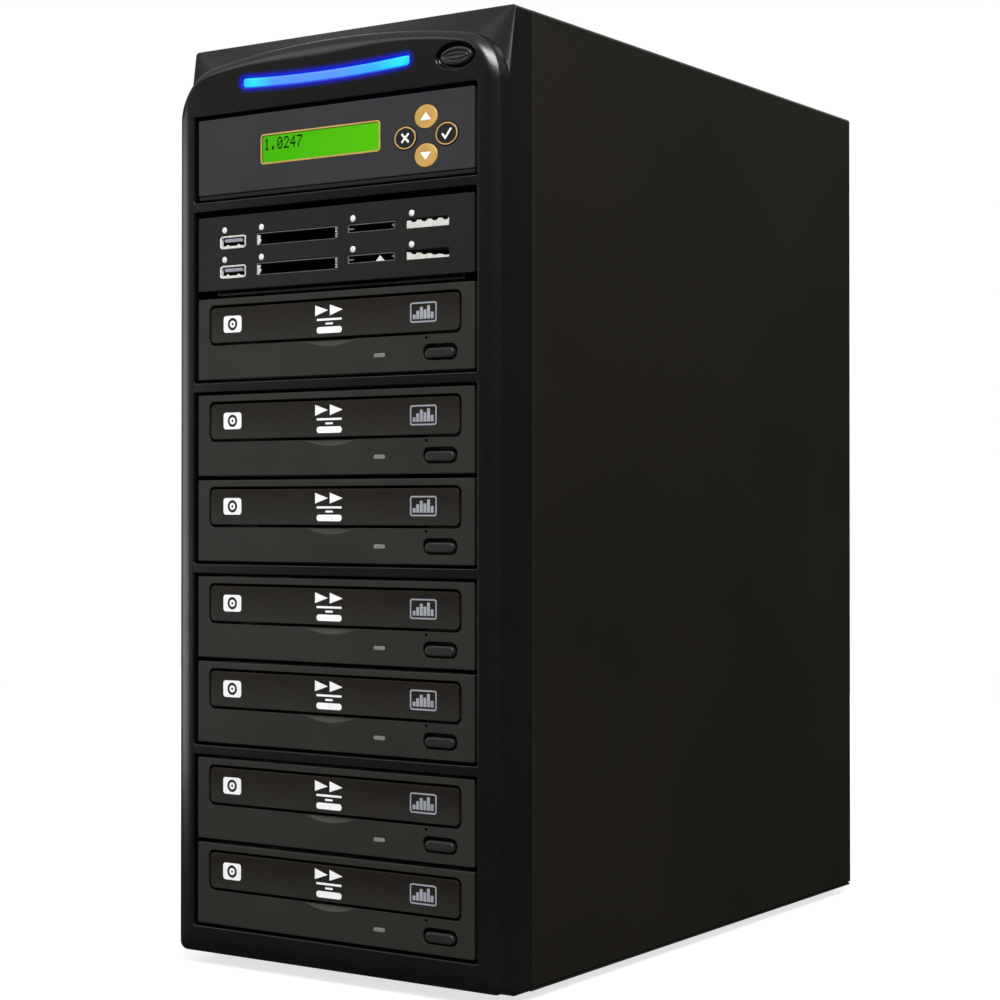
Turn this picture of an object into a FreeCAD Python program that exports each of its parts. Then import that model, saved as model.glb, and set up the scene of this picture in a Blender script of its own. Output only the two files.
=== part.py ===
import FreeCAD, Part
import os
import Sketcher
from math import atan2, pi, sqrt

# Tower disc duplicator: nine half-height bays behind one moulded front.
# Frame: X to the right, Y to the back, Z up, origin under the middle of the feet.
V = FreeCAD.Vector
doc = FreeCAD.newDocument("disc_duplicator")

# Driving dimensions in millimetres, one named value each
SIZES = {
    "bay_count": 9,
    "drive_count": 7,
    "window_count": 4,
    "case_width": 190.0,
    "case_height": 442.0,
    "cover_depth": 337.0,
    "sheet": 1.0,
    "seam_gap": 0.8,
    "loose_fit": 0.3,
    "cover_lift": 1.8,
    "cover_bend": 2.0,
    "lip_width": 10.0,
    "base_inset": 0.5,
    "base_flange": 12.0,
    "foot_height": 4.0,
    "foot_radius": 9.0,
    "foot_chamfer": 1.0,
    "foot_sides": 16,
    "foot_inset": 20.0,
    "collar_depth": 13.0,
    "collar_wall": 3.0,
    "collar_corner": 2.0,
    "shoulder_depth": 5.0,
    "shoulder_inset": 1.5,
    "nose_depth": 9.0,
    "nose_round": 7.0,
    "lip_rise": 3.0,
    "lower_corner": 10.0,
    "arch_drop": 6.0,
    "arch_radius": 480.0,
    "arch_corner": 24.0,
    "front_wall": 4.0,
    "face_width": 163.0,
    "header_room": 35.3,
    "panel_drop": 1.6,
    "panel_lift": 2.0,
    "face_thick": 4.0,
    "face_recess": 1.5,
    "face_gap": 1.0,
    "face_chamfer": 0.6,
    "window_clear": 0.9,
    "side_clear": 2.0,
    "crossbar": 4.6,
    "sill_height": 15.3,
    "bar_margin": 45.5,
    "bar_height": 5.0,
    "bar_sag": 1.6,
    "bar_rise": 12.0,
    "bar_shift": -3.4,
    "bar_fit": 0.15,
    "bar_flange": 2.0,
    "bar_overlap": 1.5,
    "power_width": 18.6,
    "power_height": 9.6,
    "power_inset": 23.4,
    "power_rise": 12.7,
    "power_travel": 2.0,
    "power_fit": 0.3,
    "power_dish": 3.2,
    "power_dish_depth": 1.4,
    "power_flange": 1.5,
    "header_gap": 12.0,
    "header_inset": 19.0,
    "header_height": 8.0,
    "post_size": 4.0,
    "stem_size": 4.0,
    "post_inset": 33.0,
    "board_thick": 1.6,
    "bay_half": 73.0,
    "bay_margin": 0.4,
    "cage_depth": 150.0,
    "cage_flange": 15.0,
    "cage_slot": 22.0,
    "bracket_depth": 130.0,
    "display_width": 69.6,
    "display_height": 12.8,
    "display_shift": -6.4,
    "display_lift": 1.4,
    "display_fit": 0.15,
    "display_recess": 0.6,
    "module_border": 4.0,
    "board_gap": 10.0,
    "board_drop": 6.0,
    "board_depth": 100.0,
    "port_count": 8,
    "port_width": 10.0,
    "port_height": 8.0,
    "port_pitch": 16.5,
    "standoff_height": 5.0,
    "standoff_size": 6.0,
    "key_radius": 5.9,
    "key_sides": 20,
    "key_shift": 55.0,
    "key_drop": 1.2,
    "key_spread": 11.5,
    "key_margin": 3.35,
    "key_fit": 0.2,
    "key_proud": 0.6,
    "key_flange": 1.2,
    "key_grip": 9.8,
    "key_stem_length": 4.0,
    "key_travel": 0.8,
    "socket_fit": 0.2,
    "socket_drop": 9.8,
    "socket_pitch": 14.2,
    "usb_shift": -59.5,
    "usb_width": 16.6,
    "usb_height": 6.6,
    "usb_depth": 18.0,
    "usb_tongue": 1.8,
    "cf_shift": -20.2,
    "cf_width": 49.2,
    "cf_height": 6.2,
    "cf_depth": 42.0,
    "sd_shift": 23.8,
    "sd_width": 27.4,
    "sd_height": 4.2,
    "sd_depth": 30.0,
    "ms_shift": 55.7,
    "ms_width": 24.0,
    "ms_height": 4.4,
    "ms_depth": 30.0,
    "socket_wall": 0.4,
    "socket_back": 3.0,
    "reader_depth": 62.0,
    "link_width": 30.0,
    "shell_length": 165.0,
    "door_width": 147.0,
    "door_drop": 4.7,
    "door_low": 17.9,
    "door_thick": 3.2,
    "door_corner": 1.2,
    "door_fit": 0.5,
    "scoop_width": 30.0,
    "scoop_height": 2.9,
    "scoop_depth": 1.6,
    "eject_shift": 62.6,
    "eject_rise": 8.6,
    "eject_width": 14.2,
    "eject_height": 4.6,
    "eject_fit": 0.3,
    "eject_rim": 1.5,
    "eject_corner": 1.6,
    "eject_dish": 1.5,
    "eject_proud": 0.8,
    "eject_flange": 1.5,
    "eject_travel": 1.0,
    "lamp_shift": 28.5,
    "lamp_level": 8.5,
    "lamp_width": 7.0,
    "lamp_height": 2.4,
    "tray_width": 129.0,
    "tray_length": 150.0,
    "tray_thick": 6.0,
    "tray_rise": 20.6,
    "disc_radius": 60.8,
    "disc_sides": 28,
    "disc_depth": 2.4,
    "disc_setback": 68.0,
    "slot_width": 38.0,
    "slot_lead": 18.0,
    "slot_tail": 10.0,
    "guide_lip": 4.0,
    "guide_thick": 2.5,
    "loader_floor": 2.5,
    "loader_open": 50.0,
    "sled_drop": 1.2,
    "sled_width": 34.0,
    "sled_length": 60.0,
    "fan_size": 80.0,
    "fan_thick": 25.0,
    "fan_bore": 38.0,
    "bore_sides": 28,
    "fan_base": 17.0,
    "fan_base_thick": 4.0,
    "fan_strut": 5.0,
    "hub_sides": 14,
    "rotor_hub": 16.0,
    "rotor_tip": 35.0,
    "rotor_gap": 0.5,
    "rotor_front": 2.5,
    "rotor_sweep": 8.5,
    "blade_count": 7,
    "blade_thick": 1.6,
    "axle_radius": 1.5,
    "axle_fit": 0.05,
    "fan_low": 160.0,
    "fan_rise": 105.0,
    "grille_rows": 9,
    "grille_radius": 36.5,
    "grille_slot": 5.0,
    "grille_bar": 2.6,
    "vent_count": 4,
    "vent_width": 44.0,
    "vent_height": 3.5,
    "vent_pitch": 8.0,
    "vent_top": 24.0,
    "psu_width": 150.0,
    "psu_height": 86.0,
    "psu_depth": 140.0,
    "psu_border": 4.0,
    "psu_fan_shift": 30.0,
    "inlet_shift": -45.0,
    "inlet_width": 27.6,
    "inlet_height": 47.6,
    "inlet_fit": 0.2,
    "inlet_depth": 20.0,
    "flange_border": 2.0,
    "flange_thick": 1.8,
    "cavity_width": 24.6,
    "cavity_height": 16.8,
    "cavity_depth": 15.6,
    "cavity_cut": 4.6,
    "cavity_drop": 12.5,
    "blade_wide": 2.0,
    "blade_tall": 4.0,
    "blade_length": 12.0,
    "blade_spread": 7.0,
    "earth_lift": 4.0,
    "rocker_lift": 14.0,
    "rocker_width": 20.0,
    "rocker_height": 12.0,
    "rocker_fit": 0.5,
    "rocker_well": 10.0,
    "rocker_proud": 1.9,
    "rocker_tail": 3.0,
    "rocker_pivot": 4.0,
    "rocker_pin": 1.2,
    "rocker_pin_length": 1.5,
    "rocker_tilt": 8.0,
}
sizes = doc.addObject("Spreadsheet::Sheet", "sizes")
for row, (name, number) in enumerate(SIZES.items(), 1):
    sizes.set(f"A{row}", name)
    sizes.set(f"B{row}", str(number))
    sizes.setAlias(f"B{row}", name)

# Places that follow from the driving dimensions
PLACES = {
    "half_width": "sizes.case_width / 2",
    "half_inside": "half_width - sizes.sheet - sizes.loose_fit",
    "z_base": "sizes.foot_height",
    "z_floor": "z_base + sizes.sheet",
    "z_top": "z_base + sizes.case_height",
    "z_inside": "z_top - sizes.sheet - sizes.loose_fit",
    "bezel_depth": "sizes.collar_depth + sizes.shoulder_depth + sizes.nose_depth",
    "rocker_reach": "(sizes.rocker_width / 2 - sizes.rocker_fit) * sin(sizes.rocker_tilt * 1deg)",
    "rocker_stand": "(sizes.rocker_pivot + sizes.rocker_proud / 2) * cos(sizes.rocker_tilt * 1deg)",
    "rear_reach": "sizes.flange_thick - 2 * sizes.sheet - sizes.rocker_pivot + rocker_stand + rocker_reach",
    "y_front": "-(bezel_depth + sizes.cover_depth + rear_reach) / 2",
    "y_shoulder": "y_front + sizes.nose_depth",
    "y_collar": "y_shoulder + sizes.shoulder_depth",
    "y_seam": "y_front + bezel_depth",
    "y_end": "y_seam + sizes.cover_depth",
    "y_back": "y_end - sizes.sheet",
    "y_rear": "y_back - sizes.sheet",
    "y_wall": "y_front + sizes.front_wall",
    "y_face": "y_front + sizes.face_recess",
    "y_bay": "y_face + sizes.face_thick",
    "y_cage": "y_seam + sizes.sheet",
    "half_face": "sizes.face_width / 2",
    "half_window": "half_face + sizes.side_clear",
    "half_cage": "sizes.bay_half + sizes.loose_fit",
    "window_spare": "sizes.crossbar + sizes.face_gap + 2 * sizes.window_clear",
    "bay_stack": "sizes.case_height - sizes.sill_height - sizes.header_room - 2 * sizes.window_clear",
    "face_height": "(bay_stack - sizes.window_count * window_spare) / sizes.bay_count",
    "panel_height": "face_height - sizes.panel_lift - sizes.panel_drop",
    "pair_height": "2 * face_height + sizes.face_gap + 2 * sizes.window_clear",
    "single_height": "face_height + 2 * sizes.window_clear",
    "window_step": "pair_height + sizes.crossbar",
    "z_sill": "z_base + sizes.sill_height",
    "z_control": "z_sill + sizes.window_count * window_step",
    "z_header": "z_control + single_height",
    "bar_length": "sizes.case_width - 2 * sizes.bar_margin",
    "bar_bend": "(bar_length ^ 2 / 4 + sizes.bar_sag ^ 2) / (2 * sizes.bar_sag)",
    "z_bar": "z_header + sizes.bar_rise",
    "z_power": "z_header + sizes.power_rise",
    "power_shift": "half_width - sizes.power_inset",
    "header_width": "sizes.case_width - 2 * sizes.header_inset",
    "post_left": "sizes.post_inset - half_width",
    "bar_tip": "sizes.bar_shift + bar_length / 2 + sizes.bar_overlap",
    "power_edge": "power_shift - sizes.power_width / 2 - sizes.power_flange",
    "post_right": "(bar_tip + power_edge) / 2",
    "display_rise": "panel_height / 2 + sizes.display_lift",
    "key_rise": "panel_height / 2 - sizes.key_drop",
    "key_lift": "panel_height / 2 - sizes.key_radius - sizes.key_fit - sizes.key_margin",
    "board_height": "face_height - sizes.board_drop",
    "socket_row": "panel_height - sizes.socket_drop",
    "door_height": "face_height - sizes.door_low - sizes.door_drop",
    "y_key_board": "y_bay + sizes.board_gap",
    "bay_low": "sizes.bay_margin",
    "bay_high": "face_height - sizes.bay_margin",
    "y_tray": "y_face + sizes.door_thick",
    "y_disc": "y_tray + sizes.disc_setback",
    "door_open_low": "sizes.door_low - sizes.door_fit",
    "y_fan": "y_rear",
    "z_psu": "z_floor + sizes.psu_height / 2",
    "z_fan_low": "z_floor + sizes.fan_low",
    "z_fan_high": "z_fan_low + sizes.fan_rise",
    "y_flange": "y_rear + sizes.flange_thick",
    "y_pivot": "y_flange - sizes.rocker_pivot",
    "z_rocker": "z_psu + sizes.rocker_lift",
}
for number in range(SIZES["bay_count"]):
    pair, upper = divmod(number, 2)
    PLACES[f"bay_{number}_z"] = (
        f"z_sill + sizes.window_clear + {pair} * window_step"
        f" + {upper} * (face_height + sizes.face_gap)"
    )
PLACES["control_z"] = "bay_8_z + sizes.panel_lift"
PLACES["reader_z"] = "bay_7_z + sizes.panel_lift"
places = doc.addObject("Spreadsheet::Sheet", "places")
for row, (name, formula) in enumerate(PLACES.items(), 1):
    places.set(f"A{row}", name)
    places.set(f"B{row}", f"={formula}")
    places.setAlias(f"B{row}", name)
doc.recompute()

# Sub-parts by node name, in the order in which the tower goes together
nodes = {}


def value(expression):
    """Present number of an expression on the two sheets."""
    result = sizes.evalExpression(expression)
    return float(getattr(result, "Value", result))


def new_body(label):
    """Empty body; its label names the sub-part."""
    body = doc.addObject("PartDesign::Body", label)
    body.Label = label
    return body


def new_sketch(body, role, offset):
    """Sketch on one of the body's origin planes, moved along that plane's normal."""
    sketch = body.newObject("Sketcher::SketchObject", f"{body.Name}_sketch")
    planes = [feature for feature in body.Origin.OriginFeatures if feature.Role == role]
    sketch.AttachmentSupport = [(planes[0], "")]
    sketch.MapMode = "FlatFace"
    sketch.setExpression("AttachmentOffset.Base.z", offset)
    return sketch


def front_sketch(body, depth):
    """Sketch seen from the front (x to the right, y up) at a given depth Y."""
    return new_sketch(body, "XZ_Plane", f"-({depth})")


def tie(sketch, kind, geometry, point, expression):
    """Signed distance of a sketch point from the origin, bound to an expression."""
    constraint = Sketcher.Constraint(kind, -1, 1, geometry, point, value(expression))
    number = sketch.addConstraint(constraint)
    sketch.setExpression(f"Constraints[{number}]", expression)


def set_radius(sketch, geometry, expression):
    """Radius of a circle or arc, bound to an expression."""
    number = sketch.addConstraint(Sketcher.Constraint("Radius", geometry, value(expression)))
    sketch.setExpression(f"Constraints[{number}]", expression)


def polygon(sketch, corners):
    """Closed outline of straight lines through corners given as expression pairs."""
    first = sketch.GeometryCount
    count = len(corners)
    points = [V(value(across), value(up), 0) for across, up in corners]
    for index in range(count):
        sketch.addGeometry(Part.LineSegment(points[index], points[(index + 1) % count]), False)
    for index in range(count):
        following = first + (index + 1) % count
        sketch.addConstraint(Sketcher.Constraint("Coincident", first + index, 2, following, 1))
    for index, (across, up) in enumerate(corners):
        tie(sketch, "DistanceX", first + index, 1, across)
        tie(sketch, "DistanceY", first + index, 1, up)


def box(sketch, left, right, low, high):
    """Plain rectangle."""
    polygon(sketch, [(left, low), (right, low), (right, high), (left, high)])


def cut_corners(sketch, left, right, low, high, corner):
    """Rectangle with its corners cut."""
    polygon(sketch, [
        (f"{left} + {corner}", low),
        (f"{right} - ({corner})", low),
        (right, f"{low} + {corner}"),
        (right, f"{high} - ({corner})"),
        (f"{right} - ({corner})", high),
        (f"{left} + {corner}", high),
        (left, f"{high} - ({corner})"),
        (left, f"{low} + {corner}"),
    ])


def many_sided(sketch, across, up, radius, sides):
    """Round outline in short straight sides, for round forms that are repeated."""
    turns = [f"{number} * 360deg / {sides}" for number in range(sides)]
    polygon(sketch, [
        (f"{across} + ({radius}) * cos({turn_by})", f"{up} + ({radius}) * sin({turn_by})")
        for turn_by in turns
    ])


def square_post(sketch, across, up, size):
    """Square about a middle."""
    half = f"({size}) / 2"
    box(sketch, f"{across} - {half}", f"{across} + {half}", f"{up} - {half}", f"{up} + {half}")


def circle(sketch, across, up, radius):
    """Full circle."""
    center = V(value(across), value(up), 0)
    number = sketch.addGeometry(Part.Circle(center, V(0, 0, 1), value(radius)), False)
    tie(sketch, "DistanceX", number, 3, across)
    tie(sketch, "DistanceY", number, 3, up)
    set_radius(sketch, number, radius)


def oval(sketch, across, up, width, height):
    """Ellipse that lies along the sketch's x axis."""
    center = V(value(across), value(up), 0)
    ellipse = Part.Ellipse(center, value(width) / 2, value(height) / 2)
    number = sketch.addGeometry(ellipse, False)
    sketch.exposeInternalGeometry(number)
    sketch.addConstraint(Sketcher.Constraint("Horizontal", number + 1))
    for axis, length in ((number + 1, width), (number + 2, height)):
        limit = sketch.addConstraint(Sketcher.Constraint("Distance", axis, value(length)))
        sketch.setExpression(f"Constraints[{limit}]", length)
    tie(sketch, "DistanceX", number, 3, across)
    tie(sketch, "DistanceY", number, 3, up)


def corner_arc(center, radius, start, end):
    """Arc about a center from one angle to another, in radians."""
    return Part.ArcOfCircle(Part.Circle(center, V(0, 0, 1), radius), start, end)


def rounded(sketch, left, right, low, high, corner, foot=None, arch=None):
    """Rectangle with rounded corners; foot is another radius for the lower two corners,
    and arch is the radius of a crowned top, which then peaks at high."""
    foot = foot or corner
    x0, x1, z0, z1 = value(left), value(right), value(low), value(high)
    upper, lower = value(corner), value(foot)
    middle = (x0 + x1) / 2
    reach = (x1 - x0) / 2 - upper
    if arch:
        crown = value(arch)
        crown_center = V(middle, z1 - crown, 0)
        level = crown_center.y + sqrt((crown - upper) ** 2 - reach ** 2)
        lean = atan2(level - crown_center.y, reach)
    else:
        level = z1 - upper
        lean = pi / 2
    right_top = V(x1 - upper, level, 0)
    left_top = V(x0 + upper, level, 0)
    first = sketch.GeometryCount
    sketch.addGeometry(Part.LineSegment(V(x0 + lower, z0, 0), V(x1 - lower, z0, 0)), False)
    sketch.addGeometry(corner_arc(V(x1 - lower, z0 + lower, 0), lower, -pi / 2, 0), False)
    sketch.addGeometry(Part.LineSegment(V(x1, z0 + lower, 0), V(x1, level, 0)), False)
    sketch.addGeometry(corner_arc(right_top, upper, 0, lean), False)
    if arch:
        sketch.addGeometry(corner_arc(crown_center, crown, lean, pi - lean), False)
    else:
        sketch.addGeometry(Part.LineSegment(V(x1 - upper, z1, 0), V(x0 + upper, z1, 0)), False)
    sketch.addGeometry(corner_arc(left_top, upper, pi - lean, pi), False)
    sketch.addGeometry(Part.LineSegment(V(x0, level, 0), V(x0, z0 + lower, 0)), False)
    sketch.addGeometry(corner_arc(V(x0 + lower, z0 + lower, 0), lower, pi, 3 * pi / 2), False)
    for index in range(8):
        following = first + (index + 1) % 8
        sketch.addConstraint(Sketcher.Constraint("Tangent", first + index, 2, following, 1))
    sketch.addConstraint(Sketcher.Constraint("Horizontal", first))
    sketch.addConstraint(Sketcher.Constraint("Vertical", first + 2))
    sketch.addConstraint(Sketcher.Constraint("Vertical", first + 6))
    sketch.addConstraint(Sketcher.Constraint("Equal", first + 1, first + 7))
    sketch.addConstraint(Sketcher.Constraint("Equal", first + 3, first + 5))
    set_radius(sketch, first + 1, foot)
    set_radius(sketch, first + 3, corner)
    tie(sketch, "DistanceY", first, 1, low)
    tie(sketch, "DistanceX", first + 2, 1, right)
    tie(sketch, "DistanceX", first + 6, 1, left)
    if arch:
        set_radius(sketch, first + 4, arch)
        tie(sketch, "DistanceY", first + 4, 3, f"{high} - ({arch})")
    else:
        sketch.addConstraint(Sketcher.Constraint("Horizontal", first + 4))
        tie(sketch, "DistanceY", first + 4, 1, high)


def pad(body, sketch, length, back=True):
    """Pad of a front sketch, towards the back unless told otherwise."""
    feature = body.newObject("PartDesign::Pad", f"{body.Name}_pad")
    feature.Profile = sketch
    feature.setExpression("Length", length)
    feature.Reversed = back
    return feature


def pocket(body, sketch, length=None, forward=False):
    """Pocket of a front sketch, towards the back; without a length it goes right through."""
    feature = body.newObject("PartDesign::Pocket", f"{body.Name}_pocket")
    feature.Profile = sketch
    feature.Reversed = forward
    if length:
        feature.setExpression("Length", length)
    else:
        feature.Type = "ThroughAll"
    return feature


def turn(body, kind, sketch, angle):
    """Revolution or groove about the sketch's first construction line, half to each side."""
    feature = body.newObject(f"PartDesign::{kind}", f"{body.Name}_turn")
    feature.Profile = sketch
    feature.ReferenceAxis = (sketch, ["Axis0"])
    feature.Midplane = True
    feature.setExpression("Angle", angle)
    return feature


def turning_axis(sketch, level, reach):
    """Construction line along the sketch's x axis at a given level."""
    height = value(level)
    line = Part.LineSegment(V(0, height, 0), V(value(reach), height, 0))
    number = sketch.addGeometry(line, True)
    tie(sketch, "DistanceX", number, 1, "0")
    tie(sketch, "DistanceY", number, 1, level)
    tie(sketch, "DistanceX", number, 2, reach)
    tie(sketch, "DistanceY", number, 2, level)


def edges_in(feature, test):
    """Names of the edges of a feature all of whose points pass a test."""
    doc.recompute()
    names = []
    for number, edge in enumerate(feature.Shape.Edges, 1):
        if all(test(point) for point in edge.discretize(5)):
            names.append(f"Edge{number}")
    return names


def near(first, second):
    """Whether two lengths are the same for picking an edge."""
    return abs(first - second) < 0.001


def soften(body, kind, base, names, size):
    """Fillet or chamfer on named edges."""
    feature = body.newObject(f"PartDesign::{kind}", f"{body.Name}_{kind}")
    feature.Base = (base, names)
    feature.setExpression("Radius" if kind == "Fillet" else "Size", size)
    return feature


def place(thing, across="0", depth="0", up="0"):
    """Bind an object's position to expressions."""
    for axis, expression in (("x", across), ("y", depth), ("z", up)):
        thing.setExpression(f"Placement.Base.{axis}", expression)


def block(name, left, right, near_y, far_y, low, high):
    """Box primitive between six planes."""
    solid = doc.addObject("Part::Box", name)
    solid.setExpression("Length", f"({right}) - ({left})")
    solid.setExpression("Width", f"({far_y}) - ({near_y})")
    solid.setExpression("Height", f"({high}) - ({low})")
    place(solid, left, near_y, low)
    return solid


def fuse(name, solids):
    """Union of several solids."""
    whole = doc.addObject("Part::MultiFuse", name)
    whole.Shapes = solids
    return whole


def cut(name, base, tool):
    """One solid less another."""
    rest = doc.addObject("Part::Cut", name)
    rest.Base = base
    rest.Tool = tool
    return rest


def group(name, things):
    """Several solids kept apart in one sub-part."""
    several = doc.addObject("Part::Compound", name)
    several.Links = things
    return several


def copy_of(source, name, across="0", depth="0", up="0"):
    """Second example of a solid at another place."""
    link = doc.addObject("App::Link", name)
    link.LinkedObject = source
    place(link, across, depth, up)
    return link


def clone(source, label, across="0", depth="0", up="0"):
    """Body that repeats another body at another place."""
    body = new_body(label)
    feature = body.newObject("PartDesign::FeatureBase", f"{body.Name}_base")
    feature.BaseFeature = source
    body.Tip = feature
    place(body, across, depth, up)
    return body


# Base pan: floor with two upturned flanges inside the cover
base = new_body("chassis_base")
profile = front_sketch(base, "places.y_seam")
pan_half = "(places.half_width - sizes.base_inset)"
flange_top = "places.z_floor + sizes.base_flange"
box(profile, f"-{pan_half}", pan_half, "places.z_base", "places.z_floor")
pad(base, profile, "sizes.cover_depth - sizes.sheet")
flanges = front_sketch(base, "places.y_cage + sizes.loose_fit")
inner = "(places.half_inside - sizes.sheet)"
box(flanges, inner, "places.half_inside", "places.z_floor", flange_top)
box(flanges, "-places.half_inside", f"-{inner}", "places.z_floor", flange_top)
pad(base, flanges, "sizes.cover_depth - 3 * sizes.sheet - 2 * sizes.loose_fit")
nodes["chassis_base"] = base

# Four rubber feet under the pan
foot = new_body("foot")
tread = new_sketch(foot, "XY_Plane", "0")
many_sided(tread, "0", "0", "sizes.foot_radius", SIZES["foot_sides"])
puck = pad(foot, tread, "sizes.foot_height", back=False)
soften(foot, "Chamfer", puck, edges_in(puck, lambda point: near(point.z, 0)), "sizes.foot_chamfer")
foot_side = "(places.half_width - sizes.foot_inset)"
feet = []
for side in ("-", ""):
    for depth in ("places.y_seam + sizes.foot_inset", "places.y_back - sizes.foot_inset"):
        feet.append(copy_of(foot, f"foot_{len(feet)}", side + foot_side, depth))
nodes["feet"] = group("feet", feet)

# Front frame: upright plate that the moulded front and the cage are fixed to
frame = new_body("front_frame")
plate = front_sketch(frame, "places.y_seam")
box(plate, "-places.half_inside", "places.half_inside", "places.z_floor", "places.z_inside")
box(plate, "-places.half_cage", "places.half_cage", "places.z_sill", "places.z_header")
pad(frame, plate, "sizes.sheet")
nodes["front_frame"] = frame

# Drive cage: two folded walls, one slot beside each bay
wall = new_body("cage_wall")
fold = new_sketch(wall, "XY_Plane", "places.z_floor")
web = "(places.half_cage + sizes.sheet)"
tip = "(places.half_cage + sizes.cage_flange)"
y_tail = "(places.y_cage + sizes.cage_depth)"
polygon(fold, [
    ("places.half_cage", "places.y_cage"),
    (tip, "places.y_cage"),
    (tip, "places.y_cage + sizes.sheet"),
    (web, "places.y_cage + sizes.sheet"),
    (web, f"{y_tail} - sizes.sheet"),
    (tip, f"{y_tail} - sizes.sheet"),
    (tip, y_tail),
    ("places.half_cage", y_tail),
])
pad(wall, fold, "places.z_header - places.z_floor", back=False)
slots = new_sketch(wall, "YZ_Plane", "places.half_cage + 2 * sizes.sheet")
for number in range(SIZES["bay_count"]):
    low = f"places.bay_{number}_z + (places.face_height - sizes.cage_slot) / 2"
    slot_from = "places.y_cage + sizes.cage_slot"
    slot_to = f"{y_tail} - sizes.cage_slot"
    box(slots, slot_from, slot_to, low, f"{low} + sizes.cage_slot")
pocket(wall, slots, "3 * sizes.sheet")
other_wall = doc.addObject("Part::Mirroring", "cage_wall_left")
other_wall.Source = wall
other_wall.Normal = V(1, 0, 0)
nodes["drive_cage"] = group("drive_cage", [wall, other_wall])

# Fan grille cutter: rows of slots within a circle, parted by an upright bar
grille = new_body("grille")
rows_of_slots = front_sketch(grille, "0")
for row in range(SIZES["grille_rows"]):
    level = f"({row} - (sizes.grille_rows - 1) / 2) * (sizes.grille_slot + sizes.grille_bar)"
    reach = f"sqrt(sizes.grille_radius ^ 2 - (abs({level}) + sizes.grille_slot / 2) ^ 2)"
    low = f"{level} - sizes.grille_slot / 2"
    high = f"{level} + sizes.grille_slot / 2"
    box(rows_of_slots, f"-{reach}", "-sizes.grille_bar / 2", low, high)
    box(rows_of_slots, "sizes.grille_bar / 2", reach, low, high)
pad(grille, rows_of_slots, "sizes.fan_thick")
y_grille = "places.y_rear - sizes.fan_thick / 2"

# Rear panel: grilles for two fans, top vents and the supply's window
rear = new_body("rear_sheet")
plate = front_sketch(rear, "places.y_rear")
box(plate, "-places.half_inside", "places.half_inside", "places.z_floor", "places.z_inside")
half_window = "(sizes.psu_width / 2 - sizes.psu_border)"
window_low = "places.z_floor + sizes.psu_border"
window_high = "places.z_floor + sizes.psu_height - sizes.psu_border"
box(plate, f"-{half_window}", half_window, window_low, window_high)
pad(rear, plate, "sizes.sheet")
openings = front_sketch(rear, "places.y_rear - sizes.sheet")
for number in range(SIZES["vent_count"]):
    high = f"places.z_inside - sizes.vent_top - {number} * sizes.vent_pitch"
    for left in ("-sizes.vent_width - sizes.vent_pitch", "sizes.vent_pitch"):
        box(openings, left, f"{left} + sizes.vent_width", f"{high} - sizes.vent_height", high)
pocket(rear, openings)
grilles = group("rear_grilles", [
    copy_of(grille, "grille_low", "0", y_grille, "places.z_fan_low"),
    copy_of(grille, "grille_high", "0", y_grille, "places.z_fan_high"),
])
nodes["rear_panel"] = cut("rear_panel", rear, grilles)

# Supply case: steel box on the floor, its back wall in the rear panel's window
half_psu = "sizes.psu_width / 2"
psu_front = "places.y_rear - sizes.psu_depth"
psu_top = "places.z_floor + sizes.psu_height"
outside = block(
    "psu_outside",
    f"-{half_psu}",
    half_psu,
    psu_front,
    "places.y_rear",
    "places.z_floor",
    psu_top,
)
inside = block(
    "psu_inside",
    f"-{half_psu} + sizes.sheet",
    f"{half_psu} - sizes.sheet",
    f"{psu_front} + sizes.sheet",
    "places.y_rear - sizes.sheet",
    "places.z_floor + sizes.sheet",
    f"{psu_top} - sizes.sheet",
)
half_cutout = "(sizes.inlet_width / 2 + sizes.inlet_fit)"
tall_cutout = "(sizes.inlet_height / 2 + sizes.inlet_fit)"
inlet_hole = block(
    "inlet_hole",
    f"sizes.inlet_shift - {half_cutout}",
    f"sizes.inlet_shift + {half_cutout}",
    "places.y_rear - 2 * sizes.sheet",
    "places.y_rear + sizes.sheet",
    f"places.z_psu - {tall_cutout}",
    f"places.z_psu + {tall_cutout}",
)
psu_grille = copy_of(grille, "grille_psu", "sizes.psu_fan_shift", y_grille, "places.z_psu")
psu_hollow = fuse("psu_hollow", [inside, inlet_hole, psu_grille])
nodes["psu_case"] = cut("psu_case", outside, psu_hollow)

# Mains inlet with its switch frame: flange, body, three-pin cavity and rocker well
inlet = new_body("mains_inlet")
half_body = "sizes.inlet_width / 2"
tall_body = "sizes.inlet_height / 2"
body_box = front_sketch(inlet, "places.y_rear - sizes.inlet_depth")
left = f"sizes.inlet_shift - {half_body}"
right = f"sizes.inlet_shift + {half_body}"
box(body_box, left, right, f"places.z_psu - {tall_body}", f"places.z_psu + {tall_body}")
pad(inlet, body_box, "sizes.inlet_depth")
flange = front_sketch(inlet, "places.y_rear")
box(
    flange,
    f"{left} - sizes.flange_border",
    f"{right} + sizes.flange_border",
    f"places.z_psu - {tall_body} - sizes.flange_border",
    f"places.z_psu + {tall_body} + sizes.flange_border",
)
pad(inlet, flange, "sizes.flange_thick")
cavity = front_sketch(inlet, "places.y_flange")
half_cavity = "sizes.cavity_width / 2"
z_cavity = "places.z_psu - sizes.cavity_drop"
cavity_low = f"{z_cavity} - sizes.cavity_height / 2"
cavity_high = f"{z_cavity} + sizes.cavity_height / 2"
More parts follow.
